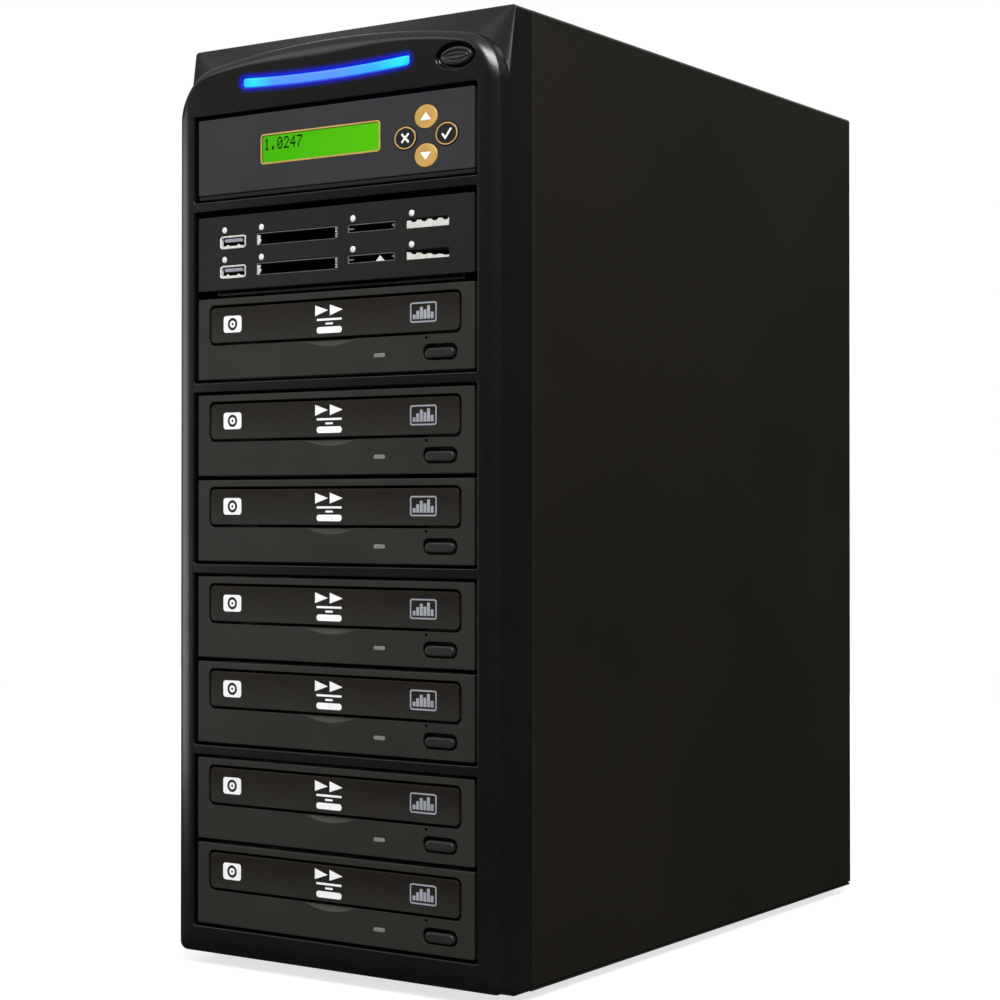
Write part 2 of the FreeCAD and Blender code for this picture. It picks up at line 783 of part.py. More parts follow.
polygon(cavity, [
    (f"sizes.inlet_shift - {half_cavity}", cavity_low),
    (f"sizes.inlet_shift + {half_cavity}", cavity_low),
    (f"sizes.inlet_shift + {half_cavity}", f"{cavity_high} - sizes.cavity_cut"),
    (f"sizes.inlet_shift + {half_cavity} - sizes.cavity_cut", cavity_high),
    (f"sizes.inlet_shift - {half_cavity} + sizes.cavity_cut", cavity_high),
    (f"sizes.inlet_shift - {half_cavity}", f"{cavity_high} - sizes.cavity_cut"),
])
pocket(inlet, cavity, "sizes.cavity_depth", forward=True)
pins = front_sketch(inlet, "places.y_flange - sizes.cavity_depth")
for shift, lift in (("-sizes.blade_spread", "0"), ("0", "sizes.earth_lift"), ("sizes.blade_spread", "0")):
    middle = f"sizes.inlet_shift + {shift}"
    foot_level = f"{z_cavity} + {lift} - sizes.blade_tall / 2"
    pin_left = f"{middle} - sizes.blade_wide / 2"
    box(pins, pin_left, f"{pin_left} + sizes.blade_wide", foot_level, f"{foot_level} + sizes.blade_tall")
pad(inlet, pins, "sizes.blade_length")
well = front_sketch(inlet, "places.y_flange")
half_well = "(sizes.rocker_width / 2 + sizes.rocker_fit)"
tall_well = "(sizes.rocker_height / 2 + sizes.rocker_fit)"
box(
    well,
    f"sizes.inlet_shift - {half_well}",
    f"sizes.inlet_shift + {half_well}",
    f"places.z_rocker - {tall_well}",
    f"places.z_rocker + {tall_well}",
)
pocket(inlet, well, "sizes.rocker_well", forward=True)
seats = new_sketch(inlet, "XY_Plane", f"places.z_rocker + {tall_well} + sizes.rocker_pin_length")
circle(seats, "sizes.inlet_shift", "places.y_pivot", "sizes.rocker_pin + sizes.axle_fit")
pocket(inlet, seats, f"2 * ({tall_well} + sizes.rocker_pin_length)")
nodes["mains_inlet"] = inlet

# Rocker: two faces that meet in a shallow valley over its pivot pins
rocker = new_body("power_rocker")
slab = new_sketch(rocker, "XY_Plane", "-sizes.rocker_height / 2")
half_rocker = "(sizes.rocker_width / 2 - sizes.rocker_fit)"
polygon(slab, [
    (f"-{half_rocker}", "0"),
    ("0", "-sizes.rocker_tail"),
    (half_rocker, "0"),
    (half_rocker, "sizes.rocker_pivot + sizes.rocker_proud / 2"),
    ("0", "sizes.rocker_pivot - sizes.rocker_proud / 4"),
    (f"-{half_rocker}", "sizes.rocker_pivot + sizes.rocker_proud / 2"),
])
pad(rocker, slab, "sizes.rocker_height", back=False)
pivot = new_sketch(rocker, "XY_Plane", "-sizes.rocker_height / 2 - sizes.rocker_pin_length")
circle(pivot, "0", "0", "sizes.rocker_pin")
pad(rocker, pivot, "sizes.rocker_height + 2 * sizes.rocker_pin_length", back=False)
rocker.Placement = FreeCAD.Placement(V(0, 0, 0), FreeCAD.Rotation(V(0, 0, 1), 1))
rocker.setExpression("Placement.Rotation.Angle", "sizes.rocker_tilt * 1deg")
place(rocker, "sizes.inlet_shift", "places.y_pivot", "places.z_rocker")
nodes["power_rocker"] = rocker

# Fan frame about its own axis: square shell, round bore, four struts, motor seat
fan = new_body("fan_frame")
square = front_sketch(fan, "-sizes.fan_thick")
half_fan = "sizes.fan_size / 2"
box(square, f"-{half_fan}", half_fan, f"-{half_fan}", half_fan)
many_sided(square, "0", "0", "sizes.fan_bore", SIZES["bore_sides"])
pad(fan, square, "sizes.fan_thick")
struts = front_sketch(fan, "-sizes.fan_thick")
reach = "(sizes.fan_bore + sizes.sheet)"
half_strut = "sizes.fan_strut / 2"
box(struts, f"-{reach}", reach, f"-{half_strut}", half_strut)
pad(fan, struts, "sizes.fan_base_thick")
struts = front_sketch(fan, "-sizes.fan_thick")
box(struts, f"-{half_strut}", half_strut, f"-{reach}", reach)
pad(fan, struts, "sizes.fan_base_thick")
seat = front_sketch(fan, "-sizes.fan_thick")
many_sided(seat, "0", "0", "sizes.fan_base", SIZES["hub_sides"])
pad(fan, seat, "sizes.fan_base_thick")
bearing = front_sketch(fan, "-sizes.fan_thick")
circle(bearing, "0", "0", "sizes.axle_radius + sizes.axle_fit")
pocket(fan, bearing, "sizes.fan_base_thick")
fan_places = {
    "upper": ("0", "places.z_fan_high"),
    "lower": ("0", "places.z_fan_low"),
    "psu": ("sizes.psu_fan_shift", "places.z_psu"),
}
fan_depth = {"upper": "places.y_fan", "lower": "places.y_fan", "psu": "places.y_fan - sizes.sheet"}
frames = []
for name, (across, up) in fan_places.items():
    frames.append(copy_of(fan, f"fan_frame_{name}", across, fan_depth[name], up))
nodes["fan_frames"] = group("fan_frames", frames)

# Fan rotor: hub cup, axle and seven pitched blades
rotor = new_body("fan_rotor")
rotor_seat = "(-sizes.fan_thick + sizes.fan_base_thick + sizes.rotor_gap)"
hub = front_sketch(rotor, rotor_seat)
many_sided(hub, "0", "0", "sizes.rotor_hub", SIZES["hub_sides"])
pad(rotor, hub, f"-sizes.rotor_front - {rotor_seat}")
axle = front_sketch(rotor, "-sizes.fan_thick")
circle(axle, "0", "0", "sizes.axle_radius")
pad(rotor, axle, f"{rotor_seat} + sizes.fan_thick + sizes.sheet")
section = new_sketch(rotor, "YZ_Plane", "sizes.rotor_hub - sizes.sheet")
lead = f"{rotor_seat} + sizes.sheet"
trail = "-sizes.rotor_front - sizes.sheet"
polygon(section, [
    (lead, "-sizes.rotor_sweep"),
    (trail, "sizes.rotor_sweep - sizes.blade_thick"),
    (trail, "sizes.rotor_sweep"),
    (lead, "-sizes.rotor_sweep + sizes.blade_thick"),
])
blade = pad(rotor, section, "sizes.rotor_tip - sizes.rotor_hub + sizes.sheet", back=False)
doc.recompute()
blades = rotor.newObject("PartDesign::PolarPattern", "rotor_blades")
blades.Originals = [blade]
axes = [feature for feature in rotor.Origin.OriginFeatures if feature.Role == "Y_Axis"]
blades.Axis = (axes[0], [""])
blades.Angle = 360
blades.setExpression("Occurrences", "sizes.blade_count")
rotor.Tip = blades
for name, (across, up) in fan_places.items():
    label = "psu_fan_rotor" if name == "psu" else f"fan_rotor_{name}"
    nodes[label] = clone(rotor, label, across, fan_depth[name], up)

# Cover: one folded sheet over both sides and the top, with a lip round the back
cover = new_body("cover")
sheet_u = front_sketch(cover, "places.y_seam + sizes.seam_gap")
cover_low = "places.z_base + sizes.cover_lift"
inner_half = "(places.half_width - sizes.sheet)"
inner_top = "places.z_top - sizes.sheet"
polygon(sheet_u, [
    ("-places.half_width", cover_low),
    ("-places.half_width", "places.z_top"),
    ("places.half_width", "places.z_top"),
    ("places.half_width", cover_low),
    (inner_half, cover_low),
    (inner_half, inner_top),
    (f"-{inner_half}", inner_top),
    (f"-{inner_half}", cover_low),
])
pad(cover, sheet_u, "sizes.cover_depth - sizes.seam_gap - sizes.sheet")
lip = front_sketch(cover, "places.y_back")
lip_half = "(places.half_width - sizes.lip_width)"
lip_top = "places.z_top - sizes.lip_width"
polygon(lip, [
    ("-places.half_width", cover_low),
    ("-places.half_width", "places.z_top"),
    ("places.half_width", "places.z_top"),
    ("places.half_width", cover_low),
    (lip_half, cover_low),
    (lip_half, lip_top),
    (f"-{lip_half}", lip_top),
    (f"-{lip_half}", cover_low),
])
cover_end = pad(cover, lip, "sizes.sheet")
top, half = value("places.z_top"), value("places.half_width")
bends = edges_in(cover_end, lambda point: near(point.z, top) and near(abs(point.x), half))
soften(cover, "Fillet", cover_end, bends, "sizes.cover_bend")
nodes["cover"] = cover

# Moulded front: collar, sloped shoulder up to an arched brow, rounded nose
bezel = new_body("front_bezel")
collar = front_sketch(bezel, "places.y_seam")
case_outline = ("-places.half_width", "places.half_width", "places.z_base", "places.z_top")
rounded(collar, *case_outline, "sizes.collar_corner")
pad(bezel, collar, "sizes.collar_depth", back=False)
rim = front_sketch(bezel, "places.y_collar")
rounded(rim, *case_outline, "sizes.collar_corner")
brow = front_sketch(bezel, "places.y_shoulder")
half_brow = "(places.half_width - sizes.shoulder_inset)"
brow_low = "places.z_base + sizes.lip_rise"
brow_top = "places.z_top - sizes.arch_drop"
rounded(
    brow,
    f"-{half_brow}",
    half_brow,
    brow_low,
    brow_top,
    "sizes.arch_corner",
    "sizes.lower_corner",
    "sizes.arch_radius",
)
shoulder = bezel.newObject("PartDesign::AdditiveLoft", "shoulder")
shoulder.Profile = rim
shoulder.Sections = [brow]
shoulder.Ruled = True
nose = pad(bezel, brow, "sizes.nose_depth", back=False)
front = value("places.y_front")
nose_edges = edges_in(nose, lambda point: near(point.y, front))
soften(bezel, "Fillet", nose, nose_edges, "sizes.nose_round")
hollow = front_sketch(bezel, "places.y_seam")
half_hollow = f"({half_brow} - sizes.front_wall)"
rounded(
    hollow,
    f"-{half_hollow}",
    half_hollow,
    f"{brow_low} + sizes.front_wall",
    f"{brow_top} - sizes.front_wall",
    "sizes.arch_corner - sizes.front_wall",
    "sizes.lower_corner - sizes.front_wall",
    "sizes.arch_radius - sizes.front_wall",
)
pocket(bezel, hollow, "places.bezel_depth - sizes.front_wall", forward=True)
skirt = front_sketch(bezel, "places.y_seam")
half_skirt = "(places.half_width - sizes.collar_wall)"
skirt_low = "places.z_base + sizes.collar_wall"
skirt_top = "places.z_top - sizes.collar_wall"
box(skirt, f"-{half_skirt}", half_skirt, skirt_low, skirt_top)
pocket(bezel, skirt, "sizes.collar_depth - sizes.collar_wall", forward=True)
windows = front_sketch(bezel, "places.y_front")
for number in range(SIZES["window_count"]):
    low = f"places.z_sill + {number} * places.window_step"
    box(windows, "-places.half_window", "places.half_window", low, f"{low} + places.pair_height")
box(windows, "-places.half_window", "places.half_window", "places.z_control", "places.z_header")
pocket(bezel, windows)
dish = front_sketch(bezel, "places.y_front")
oval(
    dish,
    "places.power_shift",
    "places.z_power",
    "sizes.power_width + sizes.power_dish",
    "sizes.power_height + sizes.power_dish",
)
pocket(bezel, dish, "sizes.power_dish_depth")
button_hole = front_sketch(bezel, "places.y_front")
oval(
    button_hole,
    "places.power_shift",
    "places.z_power",
    "sizes.power_width + 2 * sizes.power_fit",
    "sizes.power_height + 2 * sizes.power_fit",
)
pocket(bezel, button_hole, "sizes.front_wall")
smile = new_sketch(bezel, "YZ_Plane", "sizes.bar_shift")
turning_axis(smile, "places.z_bar + places.bar_bend", "-sizes.collar_depth")
box(
    smile,
    "places.y_front - sizes.sheet",
    "places.y_wall + sizes.sheet",
    "places.z_bar - sizes.bar_height / 2",
    "places.z_bar + sizes.bar_height / 2",
)
turn(bezel, "Groove", smile, "2 * asin(places.bar_length / 2 / places.bar_bend)")
nodes["front_bezel"] = bezel

# Light bar: curved lens in the brow's slot, with a flange behind the wall
lens = new_body("light_bar")
section = new_sketch(lens, "YZ_Plane", "sizes.bar_shift")
turning_axis(section, "places.z_bar + places.bar_bend", "-sizes.collar_depth")
lens_half = "(sizes.bar_height / 2 - sizes.bar_fit)"
seat_half = "(sizes.bar_height / 2 + sizes.bar_overlap)"
y_lens_back = "places.y_wall + sizes.bar_flange"
polygon(section, [
    ("places.y_front", f"places.z_bar - {lens_half}"),
    ("places.y_wall", f"places.z_bar - {lens_half}"),
    ("places.y_wall", f"places.z_bar - {seat_half}"),
    (y_lens_back, f"places.z_bar - {seat_half}"),
    (y_lens_back, f"places.z_bar + {seat_half}"),
    ("places.y_wall", f"places.z_bar + {seat_half}"),
    ("places.y_wall", f"places.z_bar + {lens_half}"),
    ("places.y_front", f"places.z_bar + {lens_half}"),
])
turn(lens, "Revolution", section, "2 * asin((places.bar_length / 2 - sizes.bar_fit) / places.bar_bend)")
nodes["light_bar"] = lens

# Power button: oval cap with a flange and a stem behind the wall
button = new_body("power_button")
cap = front_sketch(button, "places.y_front + sizes.power_fit")
oval(cap, "places.power_shift", "places.z_power", "sizes.power_width", "sizes.power_height")
pad(button, cap, "sizes.front_wall")
retainer = front_sketch(button, "places.y_wall + sizes.power_fit")
retainer_half = "(sizes.power_width / 2 + sizes.power_flange)"
box(
    retainer,
    f"places.power_shift - {retainer_half}",
    f"places.power_shift + {retainer_half}",
    "places.z_power - sizes.power_height / 4",
    "places.z_power + sizes.power_height / 4",
)
pad(button, retainer, "sizes.power_flange")
stem = front_sketch(button, "places.y_wall + sizes.power_fit + sizes.power_flange")
square_post(stem, "places.power_shift", "places.z_power", "sizes.stem_size")
stem_room = "sizes.header_gap - sizes.power_flange - sizes.post_size"
pad(button, stem, f"{stem_room} - 2 * sizes.power_fit - sizes.power_travel")
nodes["power_button"] = button

# Header board: lamp and switch strip on two posts behind the brow
header = new_body("header_board")
y_header = "places.y_wall + sizes.header_gap"
strip = front_sketch(header, y_header)
half_header = "places.header_width / 2"
half_strip = "sizes.header_height / 2"
strip_low = f"places.z_power - {half_strip}"
box(strip, f"-{half_header}", half_header, strip_low, f"{strip_low} + sizes.header_height")
pad(header, strip, "sizes.board_thick")
posts = front_sketch(header, "places.y_wall")
for across in ("places.post_left", "places.post_right"):
    square_post(posts, across, "places.z_power", "sizes.post_size")
pad(header, posts, "sizes.header_gap")
switch = front_sketch(header, f"{y_header} - sizes.post_size")
square_post(switch, "places.power_shift", "places.z_power", "sizes.stem_size")
pad(header, switch, "sizes.post_size")
nodes["header_board"] = header

# Bay brackets: folded trays that carry the control and reader panels
bracket = new_body("bay_bracket")
channel = front_sketch(bracket, "places.y_bay")
inner_bay = "(sizes.bay_half - sizes.sheet)"
floor_top = "places.bay_low + sizes.sheet"
polygon(channel, [
    ("-sizes.bay_half", "places.bay_low"),
    ("sizes.bay_half", "places.bay_low"),
    ("sizes.bay_half", "places.bay_high"),
    (inner_bay, "places.bay_high"),
    (inner_bay, floor_top),
    (f"-{inner_bay}", floor_top),
    (f"-{inner_bay}", "places.bay_high"),
    ("-sizes.bay_half", "places.bay_high"),
])
pad(bracket, channel, "sizes.bracket_depth")
nodes["bay_brackets"] = group("bay_brackets", [
    copy_of(bracket, "control_bracket", up="places.bay_8_z"),
    copy_of(bracket, "reader_bracket", up="places.bay_7_z"),
])


def blank_face(label, height):
    """Plain bay faceplate with its front edges broken, standing on z = 0."""
    body = new_body(label)
    outline = front_sketch(body, "places.y_face")
    box(outline, "-places.half_face", "places.half_face", "0", height)
    plate = pad(body, outline, "sizes.face_thick")
    depth = value("places.y_face")
    rim_edges = edges_in(plate, lambda point: near(point.y, depth))
    soften(body, "Chamfer", plate, rim_edges, "sizes.face_chamfer")
    return body


# Control panel: display window and four round key holes
control = blank_face("control_faceplate", "places.panel_height")
window = front_sketch(control, "places.y_face")
display_left = "(sizes.display_shift - sizes.display_width / 2)"
display_right = "(sizes.display_shift + sizes.display_width / 2)"
display_low = "(places.display_rise - sizes.display_height / 2)"
display_high = "(places.display_rise + sizes.display_height / 2)"
box(window, display_left, display_right, display_low, display_high)
keys = {
    "up_key": ("sizes.key_shift", "places.key_rise + places.key_lift"),
    "down_key": ("sizes.key_shift", "places.key_rise - places.key_lift"),
    "cancel_key": ("sizes.key_shift - sizes.key_spread", "places.key_rise"),
    "accept_key": ("sizes.key_shift + sizes.key_spread", "places.key_rise"),
}
for across, up in keys.values():
    many_sided(window, across, up, "sizes.key_radius + sizes.key_fit", SIZES["key_sides"])
pocket(control, window)
place(control, up="places.control_z")
nodes["control_faceplate"] = control

# Display: glass in the window on a wider module that rests on the panel's back
display = new_body("display_module")
glass = front_sketch(display, "places.y_face + sizes.display_recess")
box(
    glass,
    f"{display_left} + sizes.display_fit",
    f"{display_right} - sizes.display_fit",
    f"{display_low} + sizes.display_fit",
    f"{display_high} - sizes.display_fit",
)
pad(display, glass, "sizes.face_thick - sizes.display_recess")
module = front_sketch(display, "places.y_bay")
box(
    module,
    f"{display_left} - sizes.module_border",
    f"{display_right} + sizes.module_border",
    f"{display_low} - sizes.module_border",
    f"{display_high} + sizes.module_border",
)
pad(display, module, "sizes.board_gap")
place(display, up="places.control_z")
nodes["display_module"] = display

# Keys: round caps with a square flange and a stem that reaches for its switch
key = new_body("key")
cap = front_sketch(key, "places.y_face - sizes.key_proud")
many_sided(cap, "0", "0", "sizes.key_radius", SIZES["key_sides"])
cap_room = "(sizes.key_travel + sizes.loose_fit)"
pad(key, cap, f"sizes.face_thick + sizes.key_proud - {cap_room}")
flange = front_sketch(key, "places.y_bay + sizes.loose_fit")
square_post(flange, "0", "0", "sizes.key_grip")
pad(key, flange, "sizes.key_flange")
stem = front_sketch(key, f"places.y_bay - {cap_room}")
square_post(stem, "0", "0", "sizes.stem_size")
pad(key, stem, f"{cap_room} + sizes.loose_fit + sizes.key_flange + sizes.key_stem_length")
for label, (across, up) in keys.items():
    nodes[label] = clone(key, label, across, "0", f"places.control_z + {up}")

# Control board: upright key board and the main board on four standoffs
board = new_body("control_board")
upright = front_sketch(board, "places.y_key_board")
half_board = f"({inner_bay} - sizes.module_border)"
board_floor = f"({floor_top} - sizes.panel_lift)"
board_low = f"({board_floor} + sizes.standoff_height)"
box(upright, f"-{half_board}", half_board, board_low, f"{board_floor} + places.board_height")
pad(board, upright, "sizes.board_thick")
main = front_sketch(board, "places.y_key_board")
box(main, f"-{half_board}", half_board, board_low, f"{board_low} + sizes.board_thick")
pad(board, main, "sizes.board_depth")
standoffs = new_sketch(board, "XY_Plane", board_floor)
for side in ("-", ""):
    for depth in ("sizes.board_gap", "sizes.board_depth - sizes.board_gap"):
        across = f"{side}({half_board} - sizes.standoff_size)"
        along = f"places.y_key_board + {depth}"
        square_post(standoffs, across, along, "sizes.standoff_size")
pad(board, standoffs, "sizes.standoff_height", back=False)
key_reach = "sizes.key_flange + sizes.key_stem_length + sizes.key_travel + 2 * sizes.loose_fit"
switches = front_sketch(board, f"places.y_bay + {key_reach}")
for across, up in keys.values():
    square_post(switches, across, up, "sizes.stem_size")
pad(board, switches, f"sizes.board_gap - ({key_reach})")
ports = new_sketch(board, "XY_Plane", f"{board_low} + sizes.board_thick")
port_back = "places.y_key_board + sizes.board_depth"
for number in range(SIZES["port_count"]):
    port_left = f"({number} - (sizes.port_count - 1) / 2) * sizes.port_pitch - sizes.port_width / 2"
    box(ports, port_left, f"{port_left} + sizes.port_width", f"{port_back} - sizes.port_width", port_back)
pad(board, ports, "sizes.port_height", back=False)
place(board, up="places.control_z")
nodes["control_board"] = board

# Card reader panel: two rows of four slots
reader = blank_face("reader_faceplate", "places.panel_height")
kinds = ("usb", "cf", "sd", "ms")
mouths = front_sketch(reader, "places.y_face")
rows = ("places.socket_row", "places.socket_row - sizes.socket_pitch")
for row_top in rows:
    for kind in kinds:
        mouth_left = f"sizes.{kind}_shift - sizes.{kind}_width / 2"
        mouth_right = f"sizes.{kind}_shift + sizes.{kind}_width / 2"
        box(mouths, mouth_left, mouth_right, f"{row_top} - sizes.{kind}_height", row_top)
pocket(reader, mouths)
place(reader, up="places.reader_z")
nodes["reader_faceplate"] = reader

# Sockets: metal shells in the slots, each with its back wall, the data ones with a tongue
sockets = []
for row_number, row_top in enumerate(rows):
    for kind in kinds:
        shell = new_body(f"{kind}_socket_{row_number}")
        half_mouth = f"(sizes.{kind}_width / 2 - sizes.socket_fit)"
        shell_left = f"sizes.{kind}_shift - {half_mouth}"
        shell_right = f"sizes.{kind}_shift + {half_mouth}"
        shell_top = f"({row_top} - sizes.socket_fit)"
        shell_low = f"({row_top} - sizes.{kind}_height + sizes.socket_fit)"
        outline = front_sketch(shell, "places.y_face + sizes.loose_fit")
        box(outline, shell_left, shell_right, shell_low, shell_top)
        pad(shell, outline, f"sizes.{kind}_depth")
        mouth = front_sketch(shell, "places.y_face + sizes.loose_fit")
        mouth_low = f"{shell_low} + sizes.socket_wall"
        mouth_top = f"{shell_top} - sizes.socket_wall"
        mouth_left = f"{shell_left} + sizes.socket_wall"
        mouth_right = f"{shell_right} - sizes.socket_wall"
        box(mouth, mouth_left, mouth_right, mouth_low, mouth_top)
        pocket(shell, mouth, f"sizes.{kind}_depth - sizes.socket_back")
        if kind == "usb":
            tongue = front_sketch(shell, "places.y_face + sizes.loose_fit + sizes.socket_back")
            tongue_top = f"{mouth_top} - sizes.socket_wall"
            box(
                tongue,
                f"{mouth_left} + sizes.socket_wall",
                f"{mouth_right} - sizes.socket_wall",
                f"{tongue_top} - sizes.usb_tongue",
                tongue_top,
            )
            pad(shell, tongue, "sizes.usb_depth - sizes.socket_back")
        place(shell, up="places.reader_z")
        sockets.append(shell)
nodes["reader_sockets"] = group("reader_sockets", sockets)

# Reader board: two boards over the sockets, joined by a plug strip
reader_board = new_body("reader_board")
boards = front_sketch(reader_board, "places.y_bay + sizes.loose_fit")
half_reader = f"({inner_bay} - sizes.loose_fit)"
for row_top in rows:
    board_level = f"{row_top} - sizes.socket_fit"
    box(boards, f"-{half_reader}", half_reader, board_level, f"{board_level} + sizes.board_thick")
strip = front_sketch(reader_board, "places.y_bay + sizes.cf_depth")
strip_low = f"{rows[1]} - sizes.socket_fit"
strip_high = f"{rows[0]} - sizes.socket_fit"
half_link = "sizes.link_width / 2"
box(strip, f"-{half_link}", half_link, strip_low, strip_high)
pad(reader_board, strip, "sizes.reader_depth - sizes.cf_depth - sizes.loose_fit")
pad(reader_board, boards, "sizes.reader_depth")
place(reader_board, up="places.reader_z")
nodes["reader_board"] = reader_board

# Drive front: door opening, thumb scoop, lamp slot and eject recess
drive_face = blank_face("drive_face", "places.face_height")
eject_left = "(sizes.eject_shift - sizes.eject_width / 2)"
eject_right = "(sizes.eject_shift + sizes.eject_width / 2)"
eject_low = "(sizes.eject_rise - sizes.eject_height / 2)"
eject_high = "(sizes.eject_rise + sizes.eject_height / 2)"


def eject_outline(sketch, margin):
    """Eject key's outline with its corners cut, widened by a margin."""
    cut_corners(
        sketch,
        f"{eject_left} - {margin}",
        f"{eject_right} + {margin}",
        f"{eject_low} - {margin}",
        f"{eject_high} + {margin}",
        "sizes.eject_corner",
    )


dish = front_sketch(drive_face, "places.y_face")
eject_outline(dish, "sizes.eject_rim")
pocket(drive_face, dish, "sizes.eject_dish")
cuts = front_sketch(drive_face, "places.y_face")
half_door = "(sizes.door_width / 2 + sizes.door_fit)"
door_open_high = "sizes.door_low + places.door_height + sizes.door_fit"
door_open_corner = "sizes.door_corner + sizes.door_fit / 2"
cut_corners(cuts, f"-{half_door}", half_door, "places.door_open_low", door_open_high, door_open_corner)
eject_outline(cuts, "sizes.eject_fit")
box(
    cuts,
    "sizes.lamp_shift - sizes.lamp_width / 2",
    "sizes.lamp_shift + sizes.lamp_width / 2",
    "sizes.lamp_level - sizes.lamp_height / 2",
    "sizes.lamp_level + sizes.lamp_height / 2",
)
pocket(drive_face, cuts)
scoop = front_sketch(drive_face, "places.y_face")
half_scoop = "sizes.scoop_width / 2"
scoop_low = "places.door_open_low - sizes.scoop_height"
polygon(scoop, [
    (f"-{half_scoop}", "places.door_open_low"),
    (f"-{half_scoop} / 2", scoop_low),
    (f"{half_scoop} / 2", scoop_low),
    (half_scoop, "places.door_open_low"),
])
pocket(drive_face, scoop, "sizes.scoop_depth")

# Tray door: plate in the drive front's opening, fixed to the tray
door = new_body("door")
outline = front_sketch(door, "places.y_face")
half_plate = "(sizes.door_width / 2)"
door_top = "sizes.door_low + places.door_height"
cut_corners(outline, f"-{half_plate}", half_plate, "sizes.door_low", door_top, "sizes.door_corner")
pad(door, outline, "sizes.door_thick")

# Tray: disc well and the pickup's slot
carrier = new_body("carrier")
outline = front_sketch(carrier, "places.y_tray")
half_tray = "(sizes.tray_width / 2)"
tray_top = "(sizes.tray_rise + sizes.tray_thick)"
box(outline, f"-{half_tray}", half_tray, "sizes.tray_rise", tray_top)
pad(carrier, outline, "sizes.tray_length")
ring = new_sketch(carrier, "XY_Plane", tray_top)
many_sided(ring, "0", "places.y_disc", "sizes.disc_radius", SIZES["disc_sides"])
pocket(carrier, ring, "sizes.disc_depth")
slot = new_sketch(carrier, "XY_Plane", tray_top)
half_slot = "sizes.slot_width / 2"
slot_front = "places.y_disc - sizes.slot_lead"
slot_back = "places.y_tray + sizes.tray_length - sizes.slot_tail"
box(slot, f"-{half_slot}", half_slot, slot_front, slot_back)
pocket(carrier, slot)

# Drive shell: steel box, open in front
shell = new_body("shell")
outline = front_sketch(shell, "places.y_bay")
box(outline, "-sizes.bay_half", "sizes.bay_half", "places.bay_low", "places.bay_high")
pad(shell, outline, "sizes.shell_length")
room = front_sketch(shell, "places.y_bay")
room_low = "places.bay_low + sizes.sheet"
room_high = "places.bay_high - sizes.sheet"
box(room, f"-{inner_bay}", inner_bay, room_low, room_high)
pocket(shell, room, "sizes.shell_length - sizes.sheet")

# Loader: guide rails for the tray, with the pickup sled below it
loader = new_body("loader")
y_loader = "(places.y_bay + 2 * sizes.loose_fit + sizes.eject_flange + sizes.eject_travel)"
section = front_sketch(loader, y_loader)
rail = f"({half_tray} + sizes.loose_fit)"
ledge = "(sizes.tray_rise - sizes.loose_fit)"
lip_level = f"({tray_top} + sizes.loose_fit)"
loader_top = f"{lip_level} + sizes.guide_thick"
loader_half = f"({inner_bay} - sizes.loose_fit)"
well_floor = f"({room_low} + sizes.loader_floor)"
half_profile = [
    (loader_half, room_low),
    (loader_half, loader_top),
    (f"{rail} - sizes.guide_lip", loader_top),
    (f"{rail} - sizes.guide_lip", lip_level),
    (rail, lip_level),
    (rail, ledge),
    ("sizes.loader_open", ledge),
    ("sizes.loader_open", well_floor),
]
mirrored = [(f"-{across}", up) for across, up in reversed(half_profile)]
polygon(section, half_profile + mirrored)
pad(loader, section, f"places.y_bay + sizes.shell_length - sizes.sheet - sizes.loose_fit - {y_loader}")
sled = new_sketch(loader, "XY_Plane", well_floor)
half_sled = "sizes.sled_width / 2"
sled_front = "places.y_disc - sizes.sled_length / 2"
box(sled, f"-{half_sled}", half_sled, sled_front, f"{sled_front} + sizes.sled_length")
pad(loader, sled, f"sizes.tray_rise - sizes.sled_drop - {well_floor}", back=False)

# Eject key: cap in the recess, with a flange behind the front
eject = new_body("eject")
cap = front_sketch(eject, "places.y_face - sizes.eject_proud")
eject_outline(cap, "0")
pad(eject, cap, "sizes.eject_proud + sizes.face_thick + sizes.loose_fit")
flange = front_sketch(eject, "places.y_bay + sizes.loose_fit")
box(
    flange,
    f"{eject_left} - sizes.eject_flange",
    f"{eject_right} + sizes.eject_flange",
    f"{eject_low} - sizes.eject_flange / 2",
    f"{eject_high} + sizes.eject_flange / 2",
)
pad(eject, flange, "sizes.eject_flange")

# Lamp: light guide in the slot of each drive front
drive_lamp = new_body("drive_lamp")
outline = front_sketch(drive_lamp, "places.y_face")
box(
    outline,
    "sizes.lamp_shift - sizes.lamp_width / 2 + sizes.bar_fit",
    "sizes.lamp_shift + sizes.lamp_width / 2 - sizes.bar_fit",
    "sizes.lamp_level - sizes.lamp_height / 2 + sizes.bar_fit",
    "sizes.lamp_level + sizes.lamp_height / 2 - sizes.bar_fit",
)
pad(drive_lamp, outline, "sizes.face_thick")
lamps = []

# Seven drives, counted from the top
shells = []
loaders = []
for drive in range(1, SIZES["drive_count"] + 1):
    level = f"places.bay_{SIZES['drive_count'] - drive}_z"
    shells.append(copy_of(shell, f"shell_{drive}", up=level))
    loaders.append(copy_of(loader, f"loader_{drive}", up=level))
    lamps.append(copy_of(drive_lamp, f"lamp_{drive}", up=level))
    nodes[f"drive_bezel_{drive}"] = clone(drive_face, f"drive_bezel_{drive}", up=level)
    nodes[f"tray_door_{drive}"] = clone(door, f"tray_door_{drive}", up=level)
    nodes[f"tray_{drive}"] = clone(carrier, f"tray_{drive}", up=level)
    nodes[f"eject_key_{drive}"] = clone(eject, f"eject_key_{drive}", up=level)
nodes["drive_shells"] = group("drive_shells", shells)
nodes["drive_loaders"] = group("drive_loaders", loaders)
nodes["status_lamps"] = group("status_lamps", lamps)

